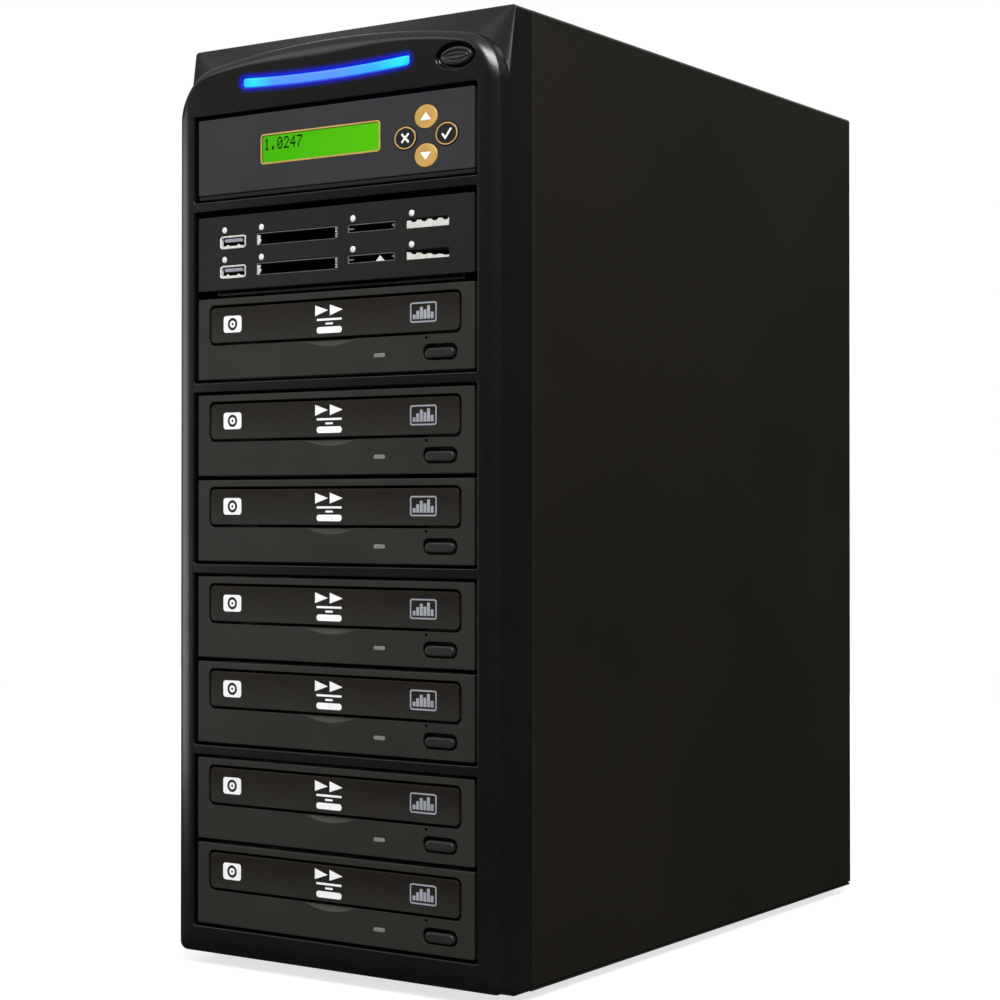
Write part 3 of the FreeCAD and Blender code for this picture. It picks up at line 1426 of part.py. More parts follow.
# Check every object and every sub-part, then write the sub-parts
doc.recompute()
for thing in doc.Objects:
    if {"Invalid", "Error"} & set(thing.State):
        raise RuntimeError(f"{thing.Label} failed: {thing.State}")
os.makedirs("parts", exist_ok=True)
for label, thing in nodes.items():
    thing.Label = label
    shape = thing.Shape
    if shape.isNull() or not shape.isValid() or not shape.Solids:
        raise RuntimeError(f"{label} has no valid shape")
for label, thing in nodes.items():
    thing.Shape.exportStep(f"parts/{label}.step")
print(len(nodes), "sub-parts written")
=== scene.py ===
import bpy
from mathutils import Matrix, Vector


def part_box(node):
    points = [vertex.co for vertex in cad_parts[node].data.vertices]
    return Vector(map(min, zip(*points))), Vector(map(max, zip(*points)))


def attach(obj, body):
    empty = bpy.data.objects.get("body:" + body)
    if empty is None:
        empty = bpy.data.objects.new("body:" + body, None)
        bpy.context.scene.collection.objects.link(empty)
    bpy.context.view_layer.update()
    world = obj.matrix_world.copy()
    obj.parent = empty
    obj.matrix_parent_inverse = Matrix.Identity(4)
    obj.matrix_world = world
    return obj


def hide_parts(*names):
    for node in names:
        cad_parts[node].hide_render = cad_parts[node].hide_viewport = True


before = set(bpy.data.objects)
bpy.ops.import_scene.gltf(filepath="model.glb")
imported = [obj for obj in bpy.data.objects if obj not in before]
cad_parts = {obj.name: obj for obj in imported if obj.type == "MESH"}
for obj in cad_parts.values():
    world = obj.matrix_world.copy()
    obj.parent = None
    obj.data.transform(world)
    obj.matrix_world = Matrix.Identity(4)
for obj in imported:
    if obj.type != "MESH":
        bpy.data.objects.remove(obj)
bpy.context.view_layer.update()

import bmesh
import bpy
import numpy as np
from mathutils import Matrix, Vector
from mathutils.geometry import delaunay_2d_cdt

# Carcass: cage, drive shells and supply box, folded from zinc-plated sheet steel, left
# bare and riveted together inside the tower.


def start_finish(name):
    """New material: its tree, its shader and the object's own coordinates."""
    material = bpy.data.materials.new(name)
    material.use_nodes = True
    tree = material.node_tree
    place = tree.nodes.new("ShaderNodeTexCoord").outputs["Object"]
    return material, tree, tree.nodes["Principled BSDF"], place


def feed(tree, node, values):
    """Gives inputs of a node, by name or number, a plain value or the output of another node."""
    for name, value in values.items():
        if isinstance(value, bpy.types.NodeSocket):
            tree.links.new(value, node.inputs[name])
        else:
            node.inputs[name].default_value = value


def add_node(tree, kind, values, **settings):
    """First output of a new node with the given settings, fed with the given values."""
    node = tree.nodes.new(kind)
    for name, setting in settings.items():
        setattr(node, name, setting)
    feed(tree, node, values)
    return node.outputs[0]


def blotches(tree, place, size, detail=2.0):
    """Noise whose blotches are about size millimetres across."""
    return add_node(tree, "ShaderNodeTexNoise", {"Vector": place, "Scale": 1000 / size, "Detail": detail})


def shades(tree, factor, dark, light, low=0.3, high=0.7):
    """Colour that goes from dark to light while the factor goes from low to high."""
    tone = add_node(tree, "ShaderNodeValToRGB", {0: factor})
    stops = tone.node.color_ramp.elements
    for index, (position, colour) in enumerate(((low, dark), (high, light))):
        stops[index].position = position
        stops[index].color = (*colour, 1)
    return tone


def spread(tree, factor, low, high, start=0.3, end=0.7, smooth=False):
    """Number that goes from low to high while the factor goes from start to end, in a straight
    line or eased at both ends."""
    values = {"Value": factor, "From Min": start, "From Max": end, "To Min": low, "To Max": high}
    slope = "SMOOTHSTEP" if smooth else "LINEAR"
    return add_node(tree, "ShaderNodeMapRange", values, interpolation_type=slope)


def emboss(tree, shader, height, depth):
    """Surface relief that is depth millimetres deep where the height runs from 0 to 1."""
    relief = add_node(tree, "ShaderNodeBump", {"Height": height, "Distance": depth / 1000})
    feed(tree, shader, {"Normal": relief})


def zinc_plate():
    """Zinc-plated sheet: crystal patches in two greys, with rolling marks in its gloss."""
    material, tree, shader, place = start_finish("zinc_plate")
    crystal = add_node(tree, "ShaderNodeTexVoronoi", {"Vector": place, "Scale": 160})
    grey = add_node(tree, "ShaderNodeSeparateColor", {0: crystal.node.outputs["Color"]})
    rolled = add_node(tree, "ShaderNodeMapping", {"Vector": place, "Scale": (1, 0.04, 1)})
    marks = blotches(tree, rolled, 0.8, 3)
    feed(tree, shader, {
        "Base Color": shades(tree, grey, (0.36, 0.37, 0.38), (0.50, 0.51, 0.52), 0.0, 1.0),
        "Roughness": spread(tree, marks, 0.30, 0.46),
        "Metallic": 1.0,
    })
    emboss(tree, shader, marks, 0.01)
    return material


def dress(material, *names):
    """Gives CAD nodes a finish in every slot of theirs."""
    for name in names:
        for index in range(len(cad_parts[name].data.materials)):
            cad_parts[name].data.materials[index] = material


zinc = zinc_plate()
dress(zinc, "drive_cage", "psu_case", "drive_shells")

# Boards and loaders: glass-fibre circuit boards under green lacquer, and the grey
# moulded rails that guide each tray; all of them sit deep inside the bays.


def moulding(name, dark, light, grain, gloss, relief, drift=40.0, specular=0.5):
    """Moulded or painted skin: a slow drift between two shades, and a fine grain that sets
    its roughness between two numbers and its relief in millimetres."""
    material, tree, shader, place = start_finish(name)
    fine = blotches(tree, place, grain, 3)
    feed(tree, shader, {
        "Base Color": shades(tree, blotches(tree, place, drift, 4), dark, light),
        "Roughness": spread(tree, fine, *gloss),
        "Specular IOR Level": specular,
    })
    emboss(tree, shader, fine, relief)
    return material


board_lacquer = moulding(
    "board_lacquer", (0.008, 0.06, 0.025), (0.015, 0.10, 0.04),
    grain=1.5, gloss=(0.3, 0.45), relief=0.02, drift=6.0,
)
loader_grey = moulding(
    "loader_grey", (0.04, 0.04, 0.042), (0.055, 0.055, 0.056), grain=0.6, gloss=(0.5, 0.65), relief=0.02,
)
dress(board_lacquer, "header_board", "control_board", "reader_board")
dress(loader_grey, "drive_loaders")

# Feet: four soft black rubber pads, moulded with a rounded tread and a well for
# the screw that holds each of them under the pan.


def node_box(name):
    """Corners of a CAD node in millimetres."""
    low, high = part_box(name)
    return np.array(low) * 1000, np.array(high) * 1000


def turned(profile, sides=40):
    """Grid of a turned form: a point at radius r and height h goes round to (r cos a, r sin a, h)."""
    radius, height = np.array(profile, float).T
    angle = np.linspace(0, 2 * np.pi, sides, endpoint=False)
    level = np.repeat(height[:, None], sides, axis=1)
    return np.stack((np.outer(radius, np.cos(angle)), np.outer(radius, np.sin(angle)), level), axis=-1)


def strip(rings, closed=True):
    """Quads between neighbouring rings of a grid that closes round each ring, or is left open."""
    rows, count = rings.shape[:2]
    here = np.arange(rows * count).reshape(rows, count)
    following = np.roll(here, -1, axis=1)
    quads = np.stack((here[:-1], following[:-1], following[1:], here[1:]), axis=-1)
    return (quads if closed else quads[:, :-1]).reshape(-1, 4)


def make_piece(name, blocks, crease=35.0):
    """Object from blocks of points in millimetres and the faces over them. Doubles are merged,
    faces turned outward, and edges that bend by more than the crease angle stay hard."""
    points = [np.asarray(block, float).reshape(-1, 3) for block, _ in blocks]
    starts = np.cumsum([0] + [len(block) for block in points[:-1]])
    faces = [
        face for start, (_, corners) in zip(starts, blocks) for face in (np.asarray(corners) + start).tolist()
    ]
    mesh = bpy.data.meshes.new(name)
    mesh.from_pydata((np.concatenate(points) / 1000).tolist(), [], faces)
    shell = bmesh.new()
    shell.from_mesh(mesh)
    bmesh.ops.remove_doubles(shell, verts=shell.verts, dist=1e-6)
    bmesh.ops.recalc_face_normals(shell, faces=shell.faces)
    shell.to_mesh(mesh)
    shell.free()
    mesh.shade_smooth()
    mesh.set_sharp_from_angle(angle=np.radians(crease))
    piece = bpy.data.objects.new(name, mesh)
    bpy.context.scene.collection.objects.link(piece)
    even = piece.modifiers.new("even_shading", "WEIGHTED_NORMAL")
    even.keep_sharp = True
    return piece


def fit(piece, material, body, slot, *nodes):
    """Gives a piece its finish and its body and hides the nodes it stands for; the slot is not used."""
    piece.data.materials.append(material)
    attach(piece, body)
    if nodes:
        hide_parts(*nodes)
    return piece


feet_low, feet_high = node_box("feet")
foot_radius, foot_height = 9.0, feet_high[2]
foot = turned([
    (0, foot_height), (foot_radius, foot_height), (8.9, 3.0), (8.4, 0.9), (8.1, 0.35), (7.5, 0),
    (4.2, 0), (3.8, 0.3), (3.6, 1.6), (0, 1.6),
])
foot_places = [
    (x, y, 0)
    for x in (feet_low[0] + foot_radius, feet_high[0] - foot_radius)
    for y in (feet_low[1] + foot_radius, feet_high[1] - foot_radius)
]
rubber = moulding(
    "foot_rubber_skin", (0.012, 0.012, 0.012), (0.02, 0.02, 0.019), grain=0.4, gloss=(0.7, 0.9), relief=0.03,
)
feet = make_piece("rubber_feet", [(foot + np.array(place), strip(foot)) for place in foot_places])
fit(feet, rubber, "case", "foot_rubber", "feet")

# Back: pan, rear panel, front frame and brackets of black powder-coated steel, with two case
# fans and the supply's fan behind punched slots, and the mains inlet's body with its switch.
powder_black = moulding(
    "powder_black", (0.015, 0.014, 0.0125), (0.021, 0.020, 0.018),
    grain=0.55, gloss=(0.42, 0.58), relief=0.035, drift=30.0,
)
fan_black = moulding(
    "fan_black", (0.012, 0.012, 0.013), (0.018, 0.018, 0.018), grain=0.4, gloss=(0.45, 0.6), relief=0.02,
)
inlet_black = moulding(
    "inlet_black", (0.009, 0.009, 0.009), (0.014, 0.014, 0.014), grain=0.3, gloss=(0.3, 0.42), relief=0.01,
)
dress(powder_black, "chassis_base", "rear_panel", "front_frame", "bay_brackets")
dress(fan_black, "fan_frames", "fan_rotor_upper", "fan_rotor_lower", "psu_fan_rotor")
dress(inlet_black, "mains_inlet", "power_rocker")

# Screws: plated pan heads with a cross recess. They hold the cover's lip, the two
# fans and the supply to the back.


def screw_head(radius, height, rings=9, sides=40):
    """Pan head about the Y axis over radius and angle: a dome, less a cross-shaped pit whose arms
    lie where the distance to the nearer of two upright lines is small, and end at six tenths."""
    drop, arm_width, pit_depth = 0.55, 0.17 * radius, 0.75 * height
    share = np.linspace(1, 0, rings)[:, None]
    angle = np.linspace(0, 2 * np.pi, sides, endpoint=False)[None, :]
    across = radius * share * np.cos(angle)
    up = radius * share * np.sin(angle)
    dome = height * np.sqrt(1 - drop * share ** 2) * np.ones_like(across)
    arm = np.minimum(np.abs(across), np.abs(up))
    pit = np.clip(1 - (arm / arm_width) ** 2, 0, 1) * np.clip(1.6 - 2.6 * share, 0, 1)
    top = np.stack((across, dome - pit_depth * pit, up), axis=-1)
    rim = np.stack((across[:1], np.zeros_like(across[:1]), up[:1]), axis=-1)
    return np.concatenate((np.zeros_like(rim), rim, top))


cover_low, cover_high = node_box("cover")
panel_back, supply_back = node_box("rear_panel")[1][1], node_box("psu_case")[1][1]
screw_places = [(x, cover_high[1], z) for x in (-90, 90) for z in (25, 225, 426)]
screw_places += [(x, panel_back, z) for x in (-35.75, 35.75) for z in (129.25, 200.75, 234.25, 305.75)]
screw_places += [(x, supply_back, z) for z in (9.6, 86.4) for x in (-69, 69)]
head = screw_head(radius=3.3, height=1.7)
screws = make_piece("back_screws", [(head + np.array(place), strip(head)) for place in screw_places])
fit(screws, zinc, "case", "chassis_steel")

# Mains inlet: three nickel-plated blades stand in the moulded cavity, the middle one
# higher than the others, each with eased edges at its tip.


def pane(left, right, low, high, radius, steps=5):
    """Rounded rectangle, anticlockwise from the front: quarter circles about four corner centres."""
    turn = np.linspace(0, np.pi / 2, steps + 1) + (np.arange(4)[:, None] - 1) * np.pi / 2
    across = np.array([right - radius, right - radius, left + radius, left + radius])[:, None]
    up = np.array([low + radius, high - radius, high - radius, low + radius])[:, None]
    return np.column_stack(((across + radius * np.cos(turn)).ravel(), (up + radius * np.sin(turn)).ravel()))


def window_outline(left, right, low, high, radius):
    """Rounded rectangle as a function of how far it is drawn in."""
    def drawn(inset):
        return pane(left + inset, right - inset, low + inset, high - inset, max(radius - inset, 0.02))
    return drawn


def centred_outline(across, up, half_width, half_height, radius):
    """Rounded rectangle about a middle, as a function of how far it is drawn in."""
    left, right = across - half_width, across + half_width
    return window_outline(left, right, up - half_height, up + half_height, radius)


def carried(outline, profile):
    """Rings of an outline carried along a profile: each is drawn in by the profile's first
    number and lies at the depth of its second."""
    return np.stack([np.insert(outline(inset), 1, depth, axis=1) for inset, depth in profile])


def lid(*loops):
    """Flat face inside the first loop and outside the others: triangles between all their points, kept
    where a line from the triangle's middle to the right meets the loops an odd number of times."""
    flat = np.concatenate(loops)
    starts = np.cumsum([0] + [len(loop) for loop in loops])
    rounds = [np.arange(start, end) for start, end in zip(starts, starts[1:])]
    edges = np.concatenate([np.column_stack((loop, np.roll(loop, -1))) for loop in rounds])
    corners = [Vector(point) for point in flat[:, [0, 2]].tolist()]
    filled = delaunay_2d_cdt(corners, edges.tolist(), [], 1, 1e-7)
    points, triangles = np.array(filled[0]), np.array(filled[2])
    across, up = np.split(points[triangles].mean(axis=1), 2, axis=1)
    (x0, z0), (x1, z1) = flat[edges[:, 0]][:, [0, 2]].T, flat[edges[:, 1]][:, [0, 2]].T
    crossed = (z0 > up) != (z1 > up)
    meeting = x0 + (up - z0) * (x1 - x0) / np.where(crossed, z1 - z0, 1)
    inside = np.sum(crossed & (meeting > across), axis=1) % 2 == 1
    return np.insert(points, 1, flat[0, 1], axis=1), triangles[inside]


def plate(outline, profile, *holes):
    """Closed plate: rings of its outline from back to front, the given rings of each hole from
    front to back, and two lids that leave the holes open."""
    rim = carried(outline, profile)
    lids = [lid(rim[-1], *[hole[0] for hole in holes]), lid(rim[0], *[hole[-1] for hole in holes])]
    return [(rim, strip(rim))] + lids + [(hole, strip(hole)) for hole in holes]


inlet_low, inlet_high = node_box("mains_inlet")
inlet_x, inlet_z = (inlet_low[0] + inlet_high[0]) / 2, (inlet_low[2] + inlet_high[2]) / 2 - 12.5
blade_root, blade_tip = inlet_high[1] - 15.6, inlet_high[1] - 3.5
blade_path = [(0, blade_root), (0, blade_tip - 0.8), (0.25, blade_tip - 0.2), (0.5, blade_tip)]
blades = []
for shift, lift in ((-7.0, 0.0), (0.0, 4.0), (7.0, 0.0)):
    blades += plate(centred_outline(inlet_x + shift, inlet_z + lift, 1.1, 2.1, 0.6), blade_path)
fit(make_piece("inlet_blades", blades), zinc, "case", "socket_metal")

# Cover: one sheet of satin black steel, folded over both sides and the top, with a
# turned-in lip round the back where the screws go.


def hood(inset, low, high, half, bend):
    """Open path up one side, over the top and down the other, drawn in by the inset."""
    radius = max(bend - inset, 0.3)
    side = half - inset
    top = high - inset
    turn = np.linspace(np.pi, 0, 13)
    around = np.where(turn > np.pi / 2 + 0.01, -side + radius, side - radius)
    bends = np.column_stack((around + radius * np.cos(turn), top - radius + radius * np.sin(turn)))
    bends = np.insert(bends, 6, [-side + radius, top], axis=0)
    return np.concatenate(([[-side, low]], bends, [[side, low]]))


def quarter(depth, radius, steps=4):
    """Quarter round from a side to a face at the given depth: the inset is r(1 - cos t) and
    the face is reached from r(1 - sin t) behind it."""
    turn = np.linspace(0, np.pi / 2, steps + 1)
    return list(zip(radius * (1 - np.cos(turn)), depth + radius * (1 - np.sin(turn))))


front_edge, rear_edge = cover_low[1], cover_high[1]
sheet, lip_width, side_bend, rear_bend = 1.0, 10.0, 2.0, 1.6
fold = [(0.25, front_edge), (0, front_edge + 0.25)]
fold += [(inset, 2 * rear_edge - depth) for inset, depth in quarter(rear_edge, rear_bend)]
fold += [(lip_width - 0.2, rear_edge), (lip_width, rear_edge - 0.2), (lip_width, rear_edge - sheet)]
fold += [
    (inset + sheet, 2 * rear_edge - depth - sheet)
    for inset, depth in reversed(quarter(rear_edge, rear_bend - sheet))
]
fold += [(sheet, front_edge)]
paths = [hood(inset, cover_low[2], cover_high[2], cover_high[0], side_bend) for inset, _ in fold]
cover_grid = np.stack([np.insert(path, 1, depth, axis=1) for path, (_, depth) in zip(paths, fold)], axis=1)
cover_ends = [(cover_grid[row], [np.arange(len(fold))]) for row in (0, -1)]
cover_paint = moulding(
    "cover_satin", (0.0095, 0.0079, 0.0053), (0.0136, 0.0113, 0.0077),
    grain=0.7, gloss=(0.40, 0.54), relief=0.03, drift=120.0, specular=0.25,
)
cover = make_piece("cover_sheet", [(cover_grid, strip(cover_grid))] + cover_ends)
fit(cover, cover_paint, "case", "cover_paint", "cover")

# Front moulding: black ABS, a straight collar against the cover, a shoulder that runs up
# to an arched brow, and a rounded nose; five windows, a lamp slot and a button hole.


def arched_outline(half, low, high, foot, corner, arch):
    """Outline with rounded feet and an arched top, alike at both sides: each upper corner is a circle
    tangent to the side and, from inside, to the arch, as a function of how far it is drawn in."""
    reach = half - corner
    centre = high - arch
    level = centre + np.sqrt((arch - corner) ** 2 - reach ** 2)
    lean = np.arctan2(level - centre, reach)

    def drawn(inset):
        small = max(foot - inset, 0.02)
        large = max(corner - inset, 0.02)
        foot_turn = np.linspace(0, np.pi / 2, 9)
        corner_turn = np.linspace(0, lean, 17)
        arch_turn = np.linspace(lean, np.pi - lean, 33)[1:-1]
        foot_middle = (half - inset - small, low + inset + small)
        corner_middle = (half - inset - large, level)
        right = np.concatenate((
            foot_middle + small * np.column_stack((np.sin(foot_turn), -np.cos(foot_turn))),
            corner_middle + large * np.column_stack((np.cos(corner_turn), np.sin(corner_turn))),
        ))
        top = [0, centre] + (arch - inset) * np.column_stack((np.cos(arch_turn), np.sin(arch_turn)))
        return np.concatenate((right, top, right[::-1] * [-1, 1]))
    return drawn


def bore(depth, radius, back):
    """Profile of a hole from a face to the back, its mouth eased by a quarter round."""
    return [(-inset, level) for inset, level in reversed(quarter(depth, radius))] + [(0, back)]


moulding_low, moulding_high = node_box("front_bezel")
half_width, crown, floor_gap = moulding_high[0], moulding_high[2], moulding_low[2]
nose, seam = moulding_low[1], moulding_high[1]
wall, shoulder, brim = nose + 4.0, nose + 9.0, nose + 14.0
window_half, pair_height, single_height, crossbar = 83.5, 82.8, 41.8, 4.6
sill = floor_gap + 15.3
step = pair_height + crossbar
header = sill + 4 * step + single_height

collar_outline = arched_outline(half_width, floor_gap, crown, foot=2.0, corner=2.0, arch=1e6)
brow_outline = arched_outline(half_width - 0.4, floor_gap + 2, crown - 6, foot=4.0, corner=24.0, arch=480.0)
hollow_outline = arched_outline(
    half_width - 5.5, floor_gap + 7, crown - 10, foot=6.0, corner=20.0, arch=476.0
)
skirt_outline = window_outline(3 - half_width, half_width - 3, floor_gap + 3, crown - 3, 0.3)

# The nose is a flat parabola with a round edge where it meets the side
nose_wide, nose_deep = 9.2, 2.6
edge_radius, edge_wide, edge_sweep = 3.0, 1.75, np.radians(65.4)
arch_start, arch_run, arch_held = 50.0, 36.0, 0.5
swell, swell_middle, swell_reach = 0.4, -8.0, 36.0


def eased_brow(inset):
    """Brow's outline drawn in by the whole inset at its sides, and along the arch by half of it,
    swelling to nine tenths over the lamp."""
    outer, inner = brow_outline(0), brow_outline(nose_wide)
    share = np.clip((outer[:, 1:] - crown + arch_start) / arch_run, 0, 1)
    held = arch_held - swell * np.exp(-((outer[:, :1] - swell_middle) / swell_reach) ** 2)
    return outer + (inner - outer) * (inset / nose_wide) * (1 - held * share ** 2 * (3 - 2 * share))


crowned = np.linspace(edge_wide, nose_wide, 12)
crowned_depth = nose + nose_deep * (1 - crowned / nose_wide) ** 2
edge_turn = np.linspace(0, edge_sweep, 8)[:-1]
edge_depth = crowned_depth[0] + edge_radius * (np.sin(edge_sweep) - np.sin(edge_turn))
nose_path = [(-0.25, shoulder + 0.3), (0, shoulder)]
nose_path += list(zip(edge_radius * (1 - np.cos(edge_turn)), edge_depth)) + list(zip(crowned, crowned_depth))
nose_rings = carried(eased_brow, nose_path)

# Both upper corners roll back further, on a steadier slope
corner_roll, corner_reach, corner_in, corner_down = 4.1, 14.0, 8.0, 22.0
height_left = 1 - np.concatenate((np.full(len(edge_turn), edge_wide), crowned)) / nose_wide
roll = np.concatenate(([0, 0], corner_roll * height_left ** 1.5 - nose_deep * height_left ** 2))
beside = np.abs(nose_rings[0, :, 0]) - half_width + corner_in
above = nose_rings[0, :, 2] - crown + corner_down
nose_rings[..., 1] += np.outer(roll, np.exp(-(beside ** 2 + above ** 2) / corner_reach ** 2))

collar_path = [(0.35, seam), (0.1, seam - 0.1), (0, seam - 0.35)]
collar_path += [(0, brim + 0.5), (0.08, brim + 0.2), (0.25, brim)]
outside = np.concatenate((carried(collar_outline, collar_path), nose_rings))
skirt = carried(skirt_outline, [(0, seam), (0, brim + 3)])
hollow = carried(hollow_outline, [(0, brim + 3), (0, wall)])
levels = [(sill + number * step, sill + number * step + pair_height) for number in range(4)]
levels += [(header - single_height, header)]
mouths = [
    carried(window_outline(-window_half, window_half, low, high, 0.9), bore(nose, 0.6, wall))
    for low, high in levels
]

# The lamp slot follows an arc that sags in its middle
lamp_low, lamp_high = node_box("light_bar")
lamp_shift = (lamp_low[0] + lamp_high[0]) / 2
lamp_level = header + 12.0
lamp_bend, lamp_half, lamp_tall = 766.4, 49.5, 2.5


def smile_outline(half_length, half_height, corner_radius=1.6, steps=24):
    """Band along an arc that is lowest in its middle, with round corners, as a function of how
    far it is drawn in: a rounded rectangle whose upright coordinate is bent onto the arc."""
    def drawn(inset):
        long, tall = half_length - inset, half_height - inset
        radius = max(min(corner_radius - inset, tall - 0.05), 0.05)
        turn = np.linspace(0, np.pi / 2, 6)
        run = np.linspace(-1, 1, steps + 2)[1:-1] * (long - radius)
        corner = np.column_stack((np.sin(turn), 1 - np.cos(turn))) * radius
        lower, upper = corner + [long - radius, -tall], corner[::-1] * [1, -1] + [long - radius, tall]
        right = np.concatenate((lower, upper))
        top = np.column_stack((run[::-1], np.full(steps, tall)))
        flat = np.concatenate((right, top, -right, -top))
        rise = lamp_bend - np.sqrt(lamp_bend ** 2 - flat[:, 0] ** 2)
        return np.column_stack((lamp_shift + flat[:, 0], lamp_level + rise + flat[:, 1]))
    return drawn


mouths.append(carried(smile_outline(lamp_half, lamp_tall), bore(nose, 0.4, wall)))

# The power button sits in an oval dish
button_x, button_z = half_width - 23.4, header + 12.4
dish_wide, dish_tall, dish_deep = 21.6, 12.0, nose + 2.4


def oval_outline(across, up, width, height, sides=64):
    """Ellipse about a middle as a function of how far it is drawn in."""
    def drawn(inset):
        angle = np.linspace(0, 2 * np.pi, sides, endpoint=False)
        reach_across, reach_up = width / 2 - inset, height / 2 - inset
        return np.column_stack((across + reach_across * np.cos(angle), up + reach_up * np.sin(angle)))
    return drawn


dish_path = bore(nose, 0.5, dish_deep) + [(0.3, dish_deep + 0.3), (1.3, dish_deep + 0.35), (1.3, wall)]
mouths.append(carried(oval_outline(button_x, button_z, dish_wide, dish_tall), dish_path))


def worked(tree, operation, *values):
    """Output of one arithmetic node over sockets and numbers."""
    return add_node(tree, "ShaderNodeMath", dict(enumerate(values)), operation=operation)


def painted_lamp_glow(material):
    """Painted glow: blue emission on the moulding that stands in for the lamp's light falling on it. It falls
    off with the distance from the lamp's middle line, which rises by x squared over twice its bend."""
    tree = material.node_tree
    place = tree.nodes["Texture Coordinate"].outputs["Object"]
    x, _, z = add_node(tree, "ShaderNodeSeparateXYZ", {0: place}).node.outputs
    across = worked(tree, "ABSOLUTE", worked(tree, "SUBTRACT", x, lamp_shift / 1000))
    rise = worked(tree, "MULTIPLY", worked(tree, "POWER", across, 2.0), 500 / lamp_bend)
    above = worked(tree, "SUBTRACT", worked(tree, "SUBTRACT", z, lamp_level / 1000), rise)
    beyond = worked(tree, "MAXIMUM", worked(tree, "SUBTRACT", across, (lamp_half - 2.0) / 1000), 0.0)
    squares = [worked(tree, "POWER", part, 2.0) for part in (beyond, worked(tree, "ABSOLUTE", above))]
    distance = worked(tree, "SQRT", worked(tree, "ADD", *squares))
    fall = spread(tree, distance, 0.75, 0.0, 0.0022, 0.0062, smooth=True)
    feed(tree, tree.nodes["Principled BSDF"], {
        "Emission Color": (0.0, 0.01, 1.0, 1),
        "Emission Strength": worked(tree, "POWER", fall, 2.0),
    })
    return material


def stored_number(tree, name):
    """Output of the number that a piece carries at its points under this name."""
    return add_node(tree, "ShaderNodeAttribute", {}, attribute_name=name).node.outputs["Fac"]


def with_painted_shade(material):
    """Paints shade into gaps and recesses: the finish's tone is scaled by one less 0.9 times the shade number
    that the piece carries at its points, and a negative number paints a highlight."""
    tree = material.node_tree
    shader = tree.nodes["Principled BSDF"]
    tone = shader.inputs["Base Color"].links[0].from_socket
    left_over = worked(tree, "MULTIPLY_ADD", stored_number(tree, "shade"), -0.9, 1.0)
    scaled = add_node(tree, "ShaderNodeVectorMath", {0: tone, "Scale": left_over}, operation="SCALE")
    feed(tree, shader, {"Base Color": scaled})
    return material


def number_points(piece, name, rule):
    """Stores a number at each point of a piece: the rule over the points' places in millimetres."""
    places = np.zeros(len(piece.data.vertices) * 3)
    piece.data.vertices.foreach_get("co", places)
    numbers = rule(*(places.reshape(-1, 3).T * 1000))
    piece.data.attributes.new(name, "FLOAT", "POINT").data.foreach_set("value", numbers)


def mouth_shade(x, y, z):
    """Painted shade: one inside the windows and the dish, from 1.4 mm behind the front plane on, and none
    outside.
    """
    around = 0.7
    in_window = (np.abs(x) < window_half + 0.3) & (z > sill - 0.5) & (z < header + 0.5)
    dish_across = (x - button_x) / (dish_wide / 2 + around)
    dish_up = (z - button_z) / (dish_tall / 2 + around)
    return np.clip(y - nose - 0.4, 0, 1) * (in_window | (dish_across ** 2 + dish_up ** 2 < 1))


# front_black carries a painted blue glow from the lamp and painted shade inside its windows and dish.
front_black = with_painted_shade(painted_lamp_glow(moulding(
    "front_black", (0.0040, 0.0040, 0.0037), (0.0058, 0.0057, 0.0052),
    grain=0.35, gloss=(0.22, 0.30), relief=0.010, drift=60.0, specular=0.45,
)))
front_blocks = [(rings, strip(rings)) for rings in (outside, skirt, hollow, *mouths)]
front_blocks += [
    lid(outside[-1], *[mouth[0] for mouth in mouths]),
    lid(hollow[-1], *[mouth[-1] for mouth in mouths]),
    lid(outside[0], skirt[0]),
    lid(skirt[-1], hollow[0]),
]
front = make_piece("front_moulding", front_blocks)
number_points(front, "shade", mouth_shade)
fit(front, front_black, "case", "front_plastic", "front_bezel")

# Lamp lens: a bent bar of clear polycarbonate with a rounded front, pressed into the slot
# in the brow and lit blue from both ends.


def lit_lens():
    """Blue lamp: pale in the middle, cyan at both ends, deep blue along its edges."""
    material, tree, shader, place = start_finish("lit_lens")
    across = add_node(tree, "ShaderNodeSeparateXYZ", {0: place})
    ends = (lamp_shift - lamp_half) / 1000, (lamp_shift + lamp_half) / 1000
    tone = add_node(tree, "ShaderNodeValToRGB", {0: spread(tree, across, 0, 1, *ends)})
    stops = tone.node.color_ramp.elements
    stops[0].color, stops[1].color = (0.0, 0.50, 1.0, 1), (0.0, 0.62, 1.0, 1)
    between = {
        0.07: (0.01, 0.80, 1.0, 1), 0.2: (0.07, 0.28, 1.0, 1), 0.55: (0.10, 0.26, 1.0, 1),
        0.8: (0.02, 0.42, 1.0, 1), 0.95: (0.0, 0.85, 1.0, 1),
    }
    for position, colour in between.items():
        stops.new(position).color = colour
    mixed = {0: stored_number(tree, "rim"), 6: tone, 7: (0.0, 0.01, 0.75, 1)}
    feed(tree, shader, {
        "Emission Color": add_node(tree, "ShaderNodeMix", mixed, data_type="RGBA").node.outputs[2],
        "Emission Strength": worked(tree, "MULTIPLY_ADD", stored_number(tree, "behind"), -0.95, 0.95),
        "Base Color": (0.02, 0.06, 0.25, 1),
        "Roughness": spread(tree, blotches(tree, place, 2.0), 0.12, 0.22),
    })
    return material


lens_gap = 0.15
lens_path = [(0, wall + 2.0), (0, nose + 1.4)]
lens_path += [(inset, level + 0.25) for inset, level in quarter(nose, 1.1, 5)]
lens = make_piece("lamp_lens", plate(smile_outline(lamp_half - lens_gap, lamp_tall - lens_gap), lens_path))
number_points(lens, "rim", lambda x, y, z: np.clip((y - nose - 0.3) / 0.8, 0, 1))
number_points(lens, "behind", lambda x, y, z: np.clip((y - nose - 1.5) / 0.5, 0, 1))
fit(lens, lit_lens(), "case", "lens_blue", "light_bar")

